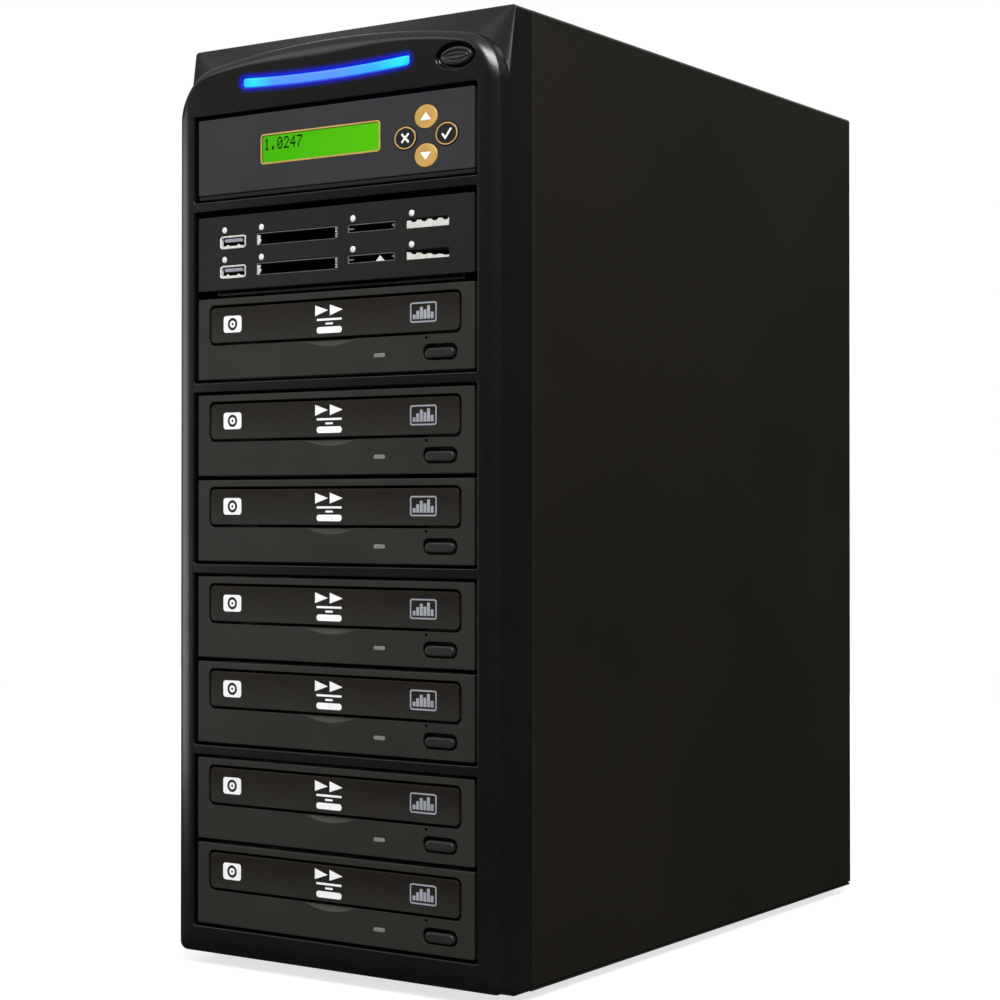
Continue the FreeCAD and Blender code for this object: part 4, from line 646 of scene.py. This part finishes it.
# Power button: oval ABS cap with a raised rim, a groove and a domed middle,
# sprung against the switch behind the brow.
cap_front = nose + 0.2
groove = [(1.3, 0), (1.6, 0.5), (2.2, 0.6), (2.5, 0.2), (3.0, 0), (3.4, 0.1), (3.7, 0.4), (3.9, 0.45)]
cap_path = [(0, wall + 1.6)] + quarter(cap_front, 0.7) + [(inset, cap_front + deep) for inset, deep in groove]
button = make_piece("power_cap", plate(oval_outline(button_x, button_z, 17.0, 8.2), cap_path), crease=50)
button_black = moulding(
    "button_black", (0.016, 0.016, 0.016), (0.021, 0.021, 0.020), grain=0.3, gloss=(0.24, 0.34), relief=0.01,
)
fit(button, button_black, "power_press_button", "front_plastic", "power_button")

# Control panel: slate ABS plate with an eased edge, a window for the display and
# four round key holes.


def bay_outline(low, high, under, over):
    """Outline of a bay's face, clear of its window at both sides, as a function of how far it
    is drawn in; its lower and upper edges are shifted up by two numbers."""
    return window_outline(low[0] + 0.1, high[0] - 0.3, low[2] + under, high[2] + over, 0.8)


def screen_outline(margin, radius):
    """Rounded rectangle round the display's window, wider by the margin on all sides."""
    return centred_outline(screen_x, screen_z, screen_wide + margin, screen_tall + margin, radius)


def gap_shade(x, y, z):
    """Painted shade for gaps and holes: none on the front plane, rising to one 1.4 mm behind it."""
    return np.clip((y - face - 0.3) / 1.1, 0, 1)


control_low, control_high = node_box("control_faceplate")
face, face_back = control_low[1] - 0.7, control_high[1]
face_path = [(0, face_back)] + quarter(face, 0.6)
screen_x, screen_z = -6.4, control_low[2] + 19.6
screen_wide, screen_tall = 34.8, 6.4
key_x, key_z = 55.0, control_low[2] + 17.0
key_across, key_up = 11.5, 8.75
key_places = {
    "up": (key_x, key_z + key_up), "down": (key_x, key_z - key_up),
    "cancel": (key_x - key_across, key_z), "accept": (key_x + key_across, key_z),
}
key_hole, key_cap, ring_outer, ring_inner = (13.0, 11.2), (12.6, 10.8), (12.3, 10.5), (10.8, 9.0)
panel_holes = [carried(screen_outline(0, 1.2), bore(face, 0.3, face_back))]
for x, z in key_places.values():
    panel_holes.append(carried(oval_outline(x, z, *key_hole), bore(face, 0.25, face_back)))
slate = moulding(
    "slate_panel", (0.0268, 0.0262, 0.0285), (0.0321, 0.0313, 0.0340),
    grain=0.45, gloss=(0.45, 0.58), relief=0.02, drift=50.0, specular=0.15,
)
panel = make_piece("control_panel", plate(
    bay_outline(control_low, control_high, 0.3, 0.6), face_path, *panel_holes
))
# Painted shade in the panel's holes behind its front plane.
number_points(panel, "shade", gap_shade)
fit(panel, with_painted_shade(slate), "case", "control_plastic", "control_faceplate")

# Display: backlit green glass behind the window, with a gold printed frame round it and
# dark liquid-crystal dots that show a counter.


def plated(name, dark, light, metal, gloss, patch, grain):
    """Foil or plated sheet that stays pale in a dim room: patches of two close tones and a fine
    grain in the gloss, only partly metallic."""
    material, tree, shader, place = start_finish(name)
    feed(tree, shader, {
        "Base Color": shades(tree, blotches(tree, place, patch, 3), dark, light),
        "Roughness": spread(tree, blotches(tree, place, grain), *gloss),
        "Metallic": metal,
    })
    return material


def lit_glass():
    """Backlit display: green that is brighter toward one end, under gloss glass."""
    material, tree, shader, place = start_finish("lit_glass")
    across = add_node(tree, "ShaderNodeSeparateXYZ", {0: place})
    along = spread(tree, across, 0, 1, (screen_x - screen_wide) / 1000, (screen_x + screen_wide) / 1000)
    feed(tree, shader, {
        "Emission Color": shades(tree, along, (0.050, 0.42, 0.001), (0.085, 0.50, 0.003), 0.0, 1.0),
        "Emission Strength": 0.95,
        "Base Color": (0.01, 0.06, 0.001, 1),
        "Specular IOR Level": 0.1,
        "Roughness": spread(tree, blotches(tree, place, 3), 0.25, 0.35),
    })
    return material


def levelled(line, *depths):
    """Line of flat points repeated at several depths."""
    return np.stack([np.insert(line, 1, depth, axis=1) for depth in depths])


def raised(depth, lift, *loops):
    """Low mark over the points that lie inside an odd number of flat loops, from just under
    the depth to lift above it."""
    rings = [levelled(loop, depth + 0.05, depth - lift) for loop in loops]
    return [(ring, strip(ring)) for ring in rings] + [lid(*[ring[side] for ring in rings]) for side in (0, 1)]


glass_face = face + 0.25
glass_path = [(0, face_back)] + quarter(glass_face, 0.2, 3)
glass = make_piece("display_glass", plate(screen_outline(-0.15, 1.1), glass_path))
fit(glass, lit_glass(), "case", "display_green", "display_module")
gold = plated(
    "gold_print", (0.50, 0.30, 0.075), (0.62, 0.39, 0.11), metal=0.25, gloss=(0.38, 0.52), patch=5, grain=0.4
)
frame_path = [(0, face + 0.05), (0, face - 0.1), (0.1, face - 0.16)]
frame_hole = carried(screen_outline(0.05, 1.1), [(-0.08, face - 0.16), (0, face - 0.1), (0, face + 0.05)])
display_frame = make_piece("display_frame", plate(screen_outline(0.8, 1.8), frame_path, frame_hole))
fit(display_frame, gold, "case", "key_gold")

digit_rows = {
    "0": "01110 10001 10011 10101 11001 10001 01110", "1": "00100 01100 00100 00100 00100 00100 01110",
    "2": "01110 10001 00001 00010 00100 01000 11111", "4": "00010 00110 01010 10010 11111 00010 00010",
    "7": "11111 00001 00010 00100 01000 01000 01000", ".": "00000 00000 00000 00000 00000 01100 01100",
}
readout = "1.0247"
dot_wide, dot_tall, digit_pitch = 0.62, 0.80, 6.4
dot = np.array([(-1, -1), (1, -1), (1, 1), (-1, 1)]) * [dot_wide * 0.55, dot_tall * 0.53]
dots = []
for place, digit in enumerate(readout):
    for row, line in enumerate(digit_rows[digit].split()):
        for column in [column for column, mark in enumerate(line) if mark == "1"]:
            x, z = (place * digit_pitch + column) * dot_wide - 33.2, 4.7 - row * dot_tall
            dots += raised(glass_face, 0.03, dot + [screen_x + x, screen_z + z])
crystal_dark = moulding(
    "crystal_dark", (0.002, 0.010, 0.002), (0.003, 0.014, 0.002),
    grain=0.5, gloss=(0.5, 0.6), relief=0.001, drift=4.0, specular=0.1,
)
fit(make_piece("readout_dots", dots), crystal_dark, "case", "display_green")

# Keys: four round caps, two of them gold with white arrows and two black with a gold
# ring, a cross and a tick, all printed marks.


def stroke(points, width, depth, lift):
    """Flat raised mark along a line of points: the line is offset by half the width to both
    sides along mitred normals, and stands lift above the depth."""
    line = np.array(points, float)
    run = np.diff(line, axis=0)
    run /= np.linalg.norm(run, axis=1)[:, None]
    before = np.concatenate((run[:1], run))
    after = np.concatenate((run, run[-1:]))
    tangent = before + after
    normal = np.column_stack((-tangent[:, 1], tangent[:, 0]))
    normal /= np.sum(normal * np.column_stack((-after[:, 1], after[:, 0])), axis=1)[:, None]
    return raised(depth, lift, np.concatenate((line - normal * width / 2, (line + normal * width / 2)[::-1])))


key_front = face - 0.35
key_path = [(0, face_back + 0.4)] + quarter(key_front, 0.35)
ring_path = [(0, key_front + 0.3), (0.15, key_front - 0.05), (0.3, key_front - 0.08)]
ring_hole_path = [(0, key_front - 0.08), (0, key_front + 0.05)]
key_gloss = moulding(
    "key_black_gloss", (0.010, 0.010, 0.011), (0.014, 0.014, 0.015),
    grain=0.5, gloss=(0.25, 0.35), relief=0.005,
)
ink = {"grain": 0.6, "gloss": (0.5, 0.62), "relief": 0.005, "drift": 8.0}
print_white = moulding("print_white", (0.80, 0.80, 0.80), (0.87, 0.87, 0.87), **ink)
gold_cap = gold.copy()
gold_cap.name = "gold_cap"
cross_arms = stroke([(-2.0, -2.0), (2.0, 2.0)], 1.0, key_front, 0.06)
cross_arms += stroke([(-2.0, 2.0), (2.0, -2.0)], 1.0, key_front, 0.07)
marks = {
    "up": raised(key_front, 0.06, np.array([(-3.0, -1.6), (3.0, -1.6), (0, 1.9)])),
    "down": raised(key_front, 0.06, np.array([(-3.0, 1.4), (0, -2.1), (3.0, 1.4)])),
    "cancel": cross_arms,
    "accept": stroke([(-2.4, 0.1), (-0.7, -1.9), (2.6, 2.2)], 1.0, key_front, 0.06),
}
for name, (x, z) in key_places.items():
    body = f"{name}_press_key"
    finish, slot = (gold_cap, "key_gold") if name in ("up", "down") else (key_gloss, "key_black")
    cap = make_piece(f"{name}_cap", plate(oval_outline(x, z, *key_cap), key_path))
    fit(cap, finish, body, slot, f"{name}_key")
    mark = [(points + np.array([x, 0, z]), faces) for points, faces in marks[name]]
    fit(make_piece(f"{name}_mark", mark), print_white, body, slot)
    if finish is key_gloss:
        ring_hole = carried(oval_outline(x, z, *ring_inner), ring_hole_path)
        ring = make_piece(f"{name}_ring", plate(oval_outline(x, z, *ring_outer), ring_path, ring_hole))
        fit(ring, gold, body, "key_gold")

# Card reader panel: matt black ABS plate with eight card mouths, and a white lamp lens
# pressed in over each of them.
reader_low, reader_high = node_box("reader_faceplate")
card_rows = [reader_low[2] + 26.6, reader_low[2] + 12.4]
card_kinds = {
    "usb": (-59.5, 16.6, 6.6), "cf": (-20.2, 49.2, 6.2), "sd": (23.8, 27.4, 4.2), "ms": (55.7, 24.0, 4.4),
}


def mouth_edges(kind, top):
    """Left, right, lower and upper edge of a card mouth of this kind below the given top."""
    x, width, tall = card_kinds[kind]
    return x - width / 2, x + width / 2, top - tall, top


edges_of_all = [mouth_edges(kind, top) for top in card_rows for kind in card_kinds]
card_mouths = [carried(window_outline(*edges, 0.5), bore(face, 0.25, face_back)) for edges in edges_of_all]
reader_black = moulding(
    "reader_black", (0.0080, 0.0080, 0.0076), (0.0107, 0.0106, 0.0101),
    grain=0.45, gloss=(0.48, 0.62), relief=0.02, drift=50.0, specular=0.2,
)
reader = make_piece("reader_panel", plate(
    bay_outline(reader_low, reader_high, 0.3, -0.3), face_path, *card_mouths
))
# Painted shade in the card mouths behind the front plane.
number_points(reader, "shade", gap_shade)
fit(reader, with_painted_shade(reader_black), "case", "reader_plastic", "reader_faceplate")
lens_profile = [(0, 0.3), (1.5, 0.3), (1.5, 0.0), (1.2, -0.22), (0.6, -0.34), (0, -0.36)]
lens_dot = turned(lens_profile, 28)[:, :, [0, 2, 1]]
lens_white = moulding(
    "lens_white", (0.62, 0.62, 0.60), (0.72, 0.72, 0.70),
    grain=0.8, gloss=(0.2, 0.3), relief=0.004, drift=2.0,
)
reader_lamps = make_piece("reader_lamps", [
    (lens_dot + np.array([left + 3.2, face, top + 2.6]), strip(lens_dot)) for left, _, _, top in edges_of_all
])
fit(reader_lamps, lens_white, "case", "lamp_lens")

# Lip: a narrow black ABS strip below the control panel that closes the gap to the card
# reader, set back a little and rounded along its edges.
lip_low, lip_high = control_low[2] - 1.9, control_low[2] + 0.1
lip_outline = window_outline(reader_low[0] + 0.1, reader_high[0] - 0.3, lip_low, lip_high, 0.6)
lip = make_piece("control_lip", plate(lip_outline, [(0, face_back)] + quarter(face + 0.4, 0.5)))
fit(lip, reader_black, "case", "control_plastic")

# Sockets: dark shells behind the mouths. Seen from the front are the plated rims, the tongue
# and springs of the two serial ports, an ear at one end of each long mouth, and contact strips.
socket_dark = moulding(
    "socket_dark", (0.004, 0.004, 0.004), (0.007, 0.007, 0.007),
    grain=0.5, gloss=(0.5, 0.65), relief=0.01, drift=20.0, specular=0.2,
)
dress(socket_dark, "reader_sockets")
contact_depth, inner_end = face + 0.7, face + 2.0
rim_kinds = {"usb": (0.75, 1.5), "cf": (0.3, 0.5), "sd": (0.3, 0.5)}
spring = np.array([
    (-6.2, 0), (6.2, 0), (6.2, 1.0), (4.4, 1.0), (3.4, 1.8),
    (2.4, 1.0), (-2.4, 1.0), (-3.4, 1.8), (-4.4, 1.0), (-6.2, 1.0),
])
ear = np.array([(0, 0), (1.0, 0), (2.4, 2.1), (1.5, 2.7), (1.9, 4.3), (0, 4.5)])
teeth = np.linspace(-1, 1, 25)
rims, bright, tongues = [], [], []
for row, top in enumerate(card_rows):
    for kind, (rim_wide, corner) in rim_kinds.items():
        left, right, low, _ = mouth_edges(kind, top)
        outer = window_outline(left + 0.2, right - 0.2, low + 0.2, top - 0.2, corner)
        inner_path = [(rim_wide - 0.1, face + 0.1), (rim_wide, face + 0.2), (rim_wide, inner_end)]
        rim_path = [(0, inner_end)] + quarter(face + 0.1, 0.15, 2)
        (bright if kind == "usb" else rims).extend(plate(outer, rim_path, carried(outer, inner_path)))
    x = card_kinds["usb"][0]
    left, right, low, _ = mouth_edges("usb", top)
    tongue_path = [(0, face + 3.3)] + quarter(face + 0.5, 0.2, 2)
    tongues += plate(centred_outline(x, top - 2.4, 5.4, 0.8, 0.3), tongue_path)
    bright += raised(contact_depth, 0.4, spring + [x, low + 0.5])
    left, right, low, _ = mouth_edges("cf", top)
    bright += raised(contact_depth, 0.3, ear + [left + 0.5, low + 0.7])
    for pin_top in top - 0.9 - 1.2 * np.arange(4):
        bright += raised(contact_depth, 0.3, pane(right - 1.7, right - 0.8, pin_top - 0.6, pin_top, 0.2, 2))
    x = card_kinds["sd"][0]
    left, right, low, _ = mouth_edges("sd", top)
    rims += raised(contact_depth, 0.3, pane(left + 0.5, left + 3.4, top - 2.5, top - 1.9, 0.2, 2))
    rims += raised(contact_depth, 0.3, pane(right - 1.9, right - 0.5, top - 2.4, top - 1.5, 0.2, 2))
    if row:
        ramp = np.array([(x + 2.6, low + 0.5), (x + 7.6, low + 0.5), (x + 4.9, top - 1.2)])
        bright += raised(contact_depth, 0.4, ramp)
    x = card_kinds["ms"][0]
    left, right, low, _ = mouth_edges("ms", top)
    crest = (2.5 + 0.9 * (np.arange(25) % 6 < 3)) * (1 - row * 0.36 * (1 + teeth))
    comb = np.column_stack((x + teeth[::-1] * (right - x - 0.3), low + 0.3 + crest[::-1]))
    comb_feet = [(left + 0.3, low + 0.2), (right - 0.3, low + 0.2)]
    bright += raised(contact_depth, 0.4, np.concatenate((comb_feet, comb)))
satin = {"gloss": (0.30, 0.45), "patch": 2, "grain": 0.3}
rim_metal = plated("rim_metal", (0.15, 0.15, 0.14), (0.21, 0.205, 0.195), metal=0.3, **satin)
tin = plated("tin", (0.60, 0.59, 0.54), (0.80, 0.79, 0.75), metal=0.25, **satin)
tongue_grey = moulding(
    "tongue_grey", (0.22, 0.21, 0.27), (0.28, 0.27, 0.33),
    grain=0.5, gloss=(0.4, 0.5), relief=0.01, drift=5.0,
)
fit(make_piece("socket_rims", rims), rim_metal, "case", "socket_metal")
fit(make_piece("socket_contacts", bright), tin, "case", "socket_metal")
fit(make_piece("socket_tongues", tongues), tongue_grey, "case", "socket_metal")

# Drive faces: seven alike, of textured ABS, clipped over the drives' shells. Each has an opening
# with a thumb scoop for its door, a lamp slot, a pin hole and a sunk rim for the eject key.
drives = range(1, 8)
drive_boxes = {number: node_box(f"drive_bezel_{number}") for number in drives}
door_left, door_right, door_low, door_high = -73.1, 73.0, 18.1, 35.1
opening_half, gap, scoop_half = 74.4, 1.2, 15.0
eject_x, eject_z = 62.6, 8.6
lamp_slot = (25.0, 32.0, 7.3, 9.7)


def door_opening(base, scoop):
    """Rounded rectangle round the door whose lower edge sags by the scoop's depth times
    (1 - (x/15)^2)^1.1, as a function of how far it is drawn in."""
    def drawn(inset):
        low, high = base + door_low - gap + inset, base + door_high + gap - inset
        loop = pane(-opening_half + inset, opening_half - inset, low, high, 3.2 - inset)
        run = np.linspace(-scoop_half, scoop_half, 41)
        sag = scoop * np.clip(1 - (run / scoop_half) ** 2, 0, 1) ** 1.1
        return np.concatenate((loop, np.column_stack((run, low - sag))))
    return drawn


def slot_outline(base, clear, radius):
    """Lamp slot of a drive, less a clearance on all sides, as a function of how far it is drawn in."""
    left, right, low, high = lamp_slot
    return window_outline(left + clear, right - clear, base + low + clear, base + high - clear, radius)


def gap_shade_and_scoop_highlight(base):
    """Rule for a drive's face: the painted shade of its gaps, and a painted highlight of minus one on the
    scoop.
    """
    edge = base + door_low - gap

    def rule(x, y, z):
        in_scoop = (np.abs(x) < scoop_half - 0.1) & (z < edge - 0.02) & (z > edge - 3.3) & (y > face + 0.05)
        return np.where(in_scoop, -1.0, gap_shade(x, y, z))
    return rule


# drive_grey carries painted shade in the gaps and a painted highlight on the scoop.
drive_grey = with_painted_shade(moulding(
    "drive_grey", (0.0188, 0.0176, 0.0150), (0.0229, 0.0214, 0.0185),
    grain=0.40, gloss=(0.50, 0.64), relief=0.03, drift=45.0, specular=0.2,
))
scoop_rings = [
    (2.9, -0.2, face), (2.7, -0.05, face + 0.12), (1.6, 0, face + 0.9), (0.5, 0, face + 1.45),
    (0, 0, face + 1.6), (0, 0, face_back),
]
sunk = bore(face, 0.3, face + 2.0) + [(0.3, face + 2.3), (1.2, face + 2.4), (1.2, face_back)]
for number, (low, high) in drive_boxes.items():
    base, eject_level = low[2], low[2] + eject_z
    rim = centred_outline(eject_x, eject_level + 0.2, 9.6, 3.7, 3.5)
    holes = [
        np.concatenate([carried(door_opening(base, sag), [(inset, y)]) for sag, inset, y in scoop_rings]),
        carried(rim, sunk),
        carried(slot_outline(base, 0, 1.1), bore(face, 0.15, face_back)),
        carried(oval_outline(55.0, base + 15.4, 1.6, 1.6, 20), bore(face, 0.15, face_back)),
    ]
    blocks = plate(bay_outline(low, high, 0.45, -0.45), face_path, *holes)
    drive_face = make_piece(f"drive_face_{number}", blocks)
    number_points(drive_face, "shade", gap_shade_and_scoop_highlight(base))
    fit(drive_face, drive_grey, "case", "drive_plastic", f"drive_bezel_{number}")

# Doors: a flat ABS bar with eased edges, clipped to the front of each tray, with printed marks:
# a tile with a disc, two arrows over bars, and a framed level meter.


def shaded_door_skin():
    """Door plastic with painted shade: browner and darker along its upper half, paler toward its lower edge.
    """
    material, tree, shader, place = start_finish("shaded_door_skin")
    rise = worked(tree, "MULTIPLY_ADD", blotches(tree, place, 25, 4), 0.25, stored_number(tree, "rise"))
    fine = blotches(tree, place, 0.40, 3)
    feed(tree, shader, {
        "Base Color": shades(tree, rise, (0.0215, 0.0195, 0.0168), (0.0112, 0.0090, 0.0066), 0.15, 0.95),
        "Roughness": spread(tree, fine, 0.42, 0.56),
        "Specular IOR Level": 0.15,
    })
    emboss(tree, shader, fine, 0.025)
    return material


# door_brown carries painted shade: darker toward the door's top, and on its edges behind the front plane.
door_brown = with_painted_shade(shaded_door_skin())
print_grey = moulding("print_grey", (0.25, 0.26, 0.29), (0.31, 0.32, 0.36), **ink)
print_lift = 0.04
tile = [pane(-5.6, 5.6, -4.0, 4.0, 1.5)] + [oval_outline(0, 0, wide, wide, 48)(0) for wide in (6.0, 3.4, 1.2)]
arrows = [np.array([(start, 1.6), (start + 7.6, 4.1), (start, 6.6)]) for start in (-8.3, 0.4)]
arrows += [
    pane(-7.4, 7.4, -6.6, -3.6, 1.4), pane(-7.4, 7.4, -0.7, 0.3, 0.3), pane(-2.2, 2.2, -2.6, -1.7, 0.3),
]
meter = [[pane(-7.4, 7.4, -4.6, 4.6, 1.2), pane(-6.7, 6.7, -3.9, 3.9, 0.7)]]
for place, rise in enumerate((0.9, 2.6, 4.2, 3.0, 4.8, 1.8)):
    meter += [[pane(-5.9 + 2 * place, -4.3 + 2 * place, -3.0, -3.0 + 1.2 + rise, 0.2, 2)]]
for number, (low, _) in drive_boxes.items():
    base, body = low[2], f"disc_tray_{number}"
    middle = base + (door_low + door_high) / 2
    door_outline = window_outline(door_left, door_right, base + door_low, base + door_high, 2.2)
    door = make_piece(f"door_{number}", plate(door_outline, [(0, face + 3.2)] + quarter(face, 0.5)))
    # The rise number drives the door's painted shade, darker toward its top.
    number_points(door, "rise", lambda x, y, z: (z - base - door_low) / (door_high - door_low))
    number_points(door, "shade", gap_shade)
    fit(door, door_brown, body, "door_plastic", f"tray_door_{number}")
    white_marks = raised(face, print_lift, *[loop + [-59.5, middle + 0.3] for loop in tile])
    for loop in arrows:
        white_marks += raised(face, print_lift, loop + [-0.5, middle])
    fit(make_piece(f"door_print_{number}", white_marks), print_white, body, "door_plastic")
    grey_marks = []
    for loops in meter:
        grey_marks += raised(face, print_lift, *[loop + [53.5, middle + 0.4] for loop in loops])
    fit(make_piece(f"door_meter_{number}", grey_marks), print_grey, body, "door_plastic")

# Eject keys: oblong ABS caps with a round front, each sprung against a switch on its
# drive's board and guided by the sunk rim.
eject_grey = moulding(
    "eject_grey", (0.0150, 0.0144, 0.0130), (0.0190, 0.0182, 0.0166),
    grain=0.40, gloss=(0.32, 0.42), relief=0.02, drift=40.0, specular=0.4,
)
eject_path = [(0, face_back + 0.3)] + quarter(face - 0.6, 0.9)
for number, (low, _) in drive_boxes.items():
    eject_level = low[2] + eject_z
    eject_outline = centred_outline(eject_x, eject_level - 0.25, 7.9, 2.35, 2.3)
    eject = make_piece(f"eject_cap_{number}", plate(eject_outline, eject_path))
    fit(eject, eject_grey, f"eject_{number}", "drive_plastic", f"eject_key_{number}")

# Drive lamps: small bars of smoked polycarbonate with a rounded front, pressed into the
# slot of each face and dark while the drives are idle.
lamp_smoke = moulding(
    "lamp_smoke", (0.15, 0.15, 0.145), (0.21, 0.21, 0.205),
    grain=0.9, gloss=(0.25, 0.35), relief=0.01, drift=1.6,
)
lamp_path = [(0, face_back)] + [(inset, level + 0.05) for inset, level in quarter(face, 0.35)]
lamp_blocks = []
for low, _ in drive_boxes.values():
    lamp_blocks += plate(slot_outline(low[2], 0.15, 1.0), lamp_path)
fit(make_piece("drive_lamps", lamp_blocks), lamp_smoke, "case", "lamp_lens", "status_lamps")

# Trays: moulded black ABS with a well for a full disc, a lower well for a small one, and a
# slot under which the pickup runs. Each is drawn upright first and then laid flat.
tray_black = moulding(
    "tray_black", (0.013, 0.013, 0.013), (0.018, 0.018, 0.018), grain=0.45, gloss=(0.45, 0.58), relief=0.02,
)
tray_low, tray_high = node_box("tray_1")
tray_length, tray_thick = (tray_high - tray_low)[1:]
disc_at, well_wide, small_radius = 68.0, 121.6, 40.8
slot_half, slot_end = 19.0, disc_at + 56.0
first_floor, second_floor = 2.4, 3.4
meet = np.arccos(slot_half / small_radius)
sweep = np.linspace(meet, -np.pi - meet, 61)
small_arc = np.column_stack((small_radius * np.cos(sweep), disc_at + small_radius * np.sin(sweep)))
slot_turn = np.linspace(np.pi, 2 * np.pi, 21)
slot_front = np.column_stack((slot_half * np.cos(slot_turn), disc_at + 1 + slot_half * np.sin(slot_turn)))
slot_near = np.concatenate((small_arc[-1:], slot_front, small_arc[:1]))
slot_far = np.concatenate((small_arc[:1], [(slot_half, slot_end), (-slot_half, slot_end)], small_arc[-1:]))
tray_outline = window_outline(-tray_high[0], tray_high[0], 0, tray_length, 2.0)
tray_rim = carried(tray_outline, [(0.3, tray_thick), (0, tray_thick - 0.3)] + quarter(0, 0.4))
well_wall = carried(oval_outline(0, disc_at, well_wide, well_wide, 96), bore(0, 0.5, first_floor))
small_wall = levelled(small_arc, first_floor, second_floor)
far_wall = levelled(slot_far, first_floor, second_floor, tray_thick)
near_wall = levelled(slot_near, second_floor, tray_thick)
tray_blocks = [(rings, strip(rings)) for rings in (tray_rim, well_wall)]
tray_blocks += [(lines, strip(lines, closed=False)) for lines in (small_wall, far_wall, near_wall)]
tray_blocks += [
    lid(tray_rim[-1], well_wall[0]),
    lid(well_wall[-1], np.concatenate((small_wall[0], far_wall[0][::-1][1:-1]))),
    lid(np.concatenate((small_wall[1], near_wall[0][1:-1]))),
    lid(tray_rim[0], np.concatenate((near_wall[1], far_wall[2][1:-1]))),
]
laid_flat = np.array([1, 1, -1])
for number in drives:
    low, high = node_box(f"tray_{number}")
    corner = np.array([0, low[1], high[2]])
    tray = make_piece(f"disc_tray_{number}", [
        (np.asarray(points)[..., [0, 2, 1]] * laid_flat + corner, faces) for points, faces in tray_blocks
    ])
    fit(tray, tray_black, f"disc_tray_{number}", "tray_plastic", f"tray_{number}")

# Studio: pale floor that fades into a white backdrop, a dim room with a pale ceiling,
# five soft lamps, and the camera low in front of the tower's right corner.
reach = 1.4
floor_corners = [(-reach, -reach, 0), (reach, -reach, 0), (reach, reach, 0), (-reach, reach, 0)]
floor_mesh = bpy.data.meshes.new("floor")
floor_mesh.from_pydata(floor_corners, [], [(0, 1, 2, 3)])
floor = bpy.data.objects.new("floor", floor_mesh)
bpy.context.scene.collection.objects.link(floor)
floor_paint, tree, shader, place = start_finish("floor_paint")
from_middle = add_node(tree, "ShaderNodeVectorMath", {0: place}, operation="LENGTH").node.outputs["Value"]
fade = spread(tree, from_middle, 0.72, 1.0, 0.30, 1.0, smooth=True)
seen = tree.nodes.new("ShaderNodeLightPath").outputs["Is Camera Ray"]
feed(tree, shader, {
    "Base Color": (0.3, 0.3, 0.3, 1),
    "Roughness": 0.9,
    "Specular IOR Level": 0.1,
    "Emission Color": (1, 1, 1, 1),
    "Emission Strength": worked(tree, "MULTIPLY", fade, seen),
})
floor_mesh.materials.append(floor_paint)
floor.visible_glossy = False

world = bpy.data.worlds.new("studio")
bpy.context.scene.world = world
world.use_nodes = True
sky = world.node_tree
heading = sky.nodes.new("ShaderNodeTexCoord").outputs["Generated"]
upward_share = add_node(sky, "ShaderNodeSeparateXYZ", {0: heading}).node.outputs[2]
ceiling = spread(sky, upward_share, 0.04, 0.55, 0.1, 0.8, smooth=True)
seen = sky.nodes.new("ShaderNodeLightPath").outputs["Is Camera Ray"]
feed(sky, sky.nodes["Background"], {"Color": (1, 1, 1, 1), "Strength": worked(sky, "MAXIMUM", ceiling, seen)})


def soft_lamp(name, place, aim, width, height, power):
    """Soft lamp that faces its aim."""
    light = bpy.data.lights.new(name, "AREA")
    light.shape = "RECTANGLE"
    light.size = width
    light.size_y = height
    light.energy = power
    lamp = bpy.data.objects.new(name, light)
    bpy.context.scene.collection.objects.link(lamp)
    lamp.visible_camera = False
    lamp.location = place
    lamp.rotation_euler = (Vector(aim) - Vector(place)).to_track_quat("-Z", "Y").to_euler()
    return lamp


soft_lamp("key", (0.74, -1.05, 1.55), (0, 0, 0.25), width=0.7, height=0.7, power=33)
soft_lamp("edge", (-0.69, -0.42, 0.27), (-0.09, -0.18, 0.27), width=0.46, height=0.52, power=1.6)
soft_lamp("brow_light", (-0.88, -1.23, 1.20), (0, -0.18, 0.43), width=0.9, height=0.5, power=2.4)
soft_lamp("back_light", (-0.7, 1.8, 0.75), (0, 0.18, 0.25), width=2.0, height=1.6, power=26)
fill = soft_lamp("fill", (1.65, -1.36, 0.65), (0, 0, 0.25), width=2.2, height=2.2, power=24)
fill.visible_glossy = False

azimuth, elevation, distance = np.radians(33.86), np.radians(-0.43), 1.1502
level = np.cos(elevation)
outward = Vector((np.sin(azimuth) * level, -np.cos(azimuth) * level, np.sin(elevation)))
rightward = Vector((np.cos(azimuth), np.sin(azimuth), 0))
upward = outward.cross(rightward)
aim = Vector((-0.0113, -0.02, 0.2297))
camera_data = bpy.data.cameras.new("camera")
camera_data.sensor_width = 36
camera_data.lens = 78.29
camera_data.shift_x = -0.0045
camera_data.shift_y = -0.0082
camera_data.clip_start = 0.01
camera = bpy.data.objects.new("camera", camera_data)
bpy.context.scene.collection.objects.link(camera)
turn = Matrix((rightward, upward, outward)).transposed().to_4x4()
camera.matrix_world = Matrix.Translation(aim + outward * distance) @ turn
bpy.context.scene.camera = camera
bpy.context.scene.view_settings.view_transform = "Standard"
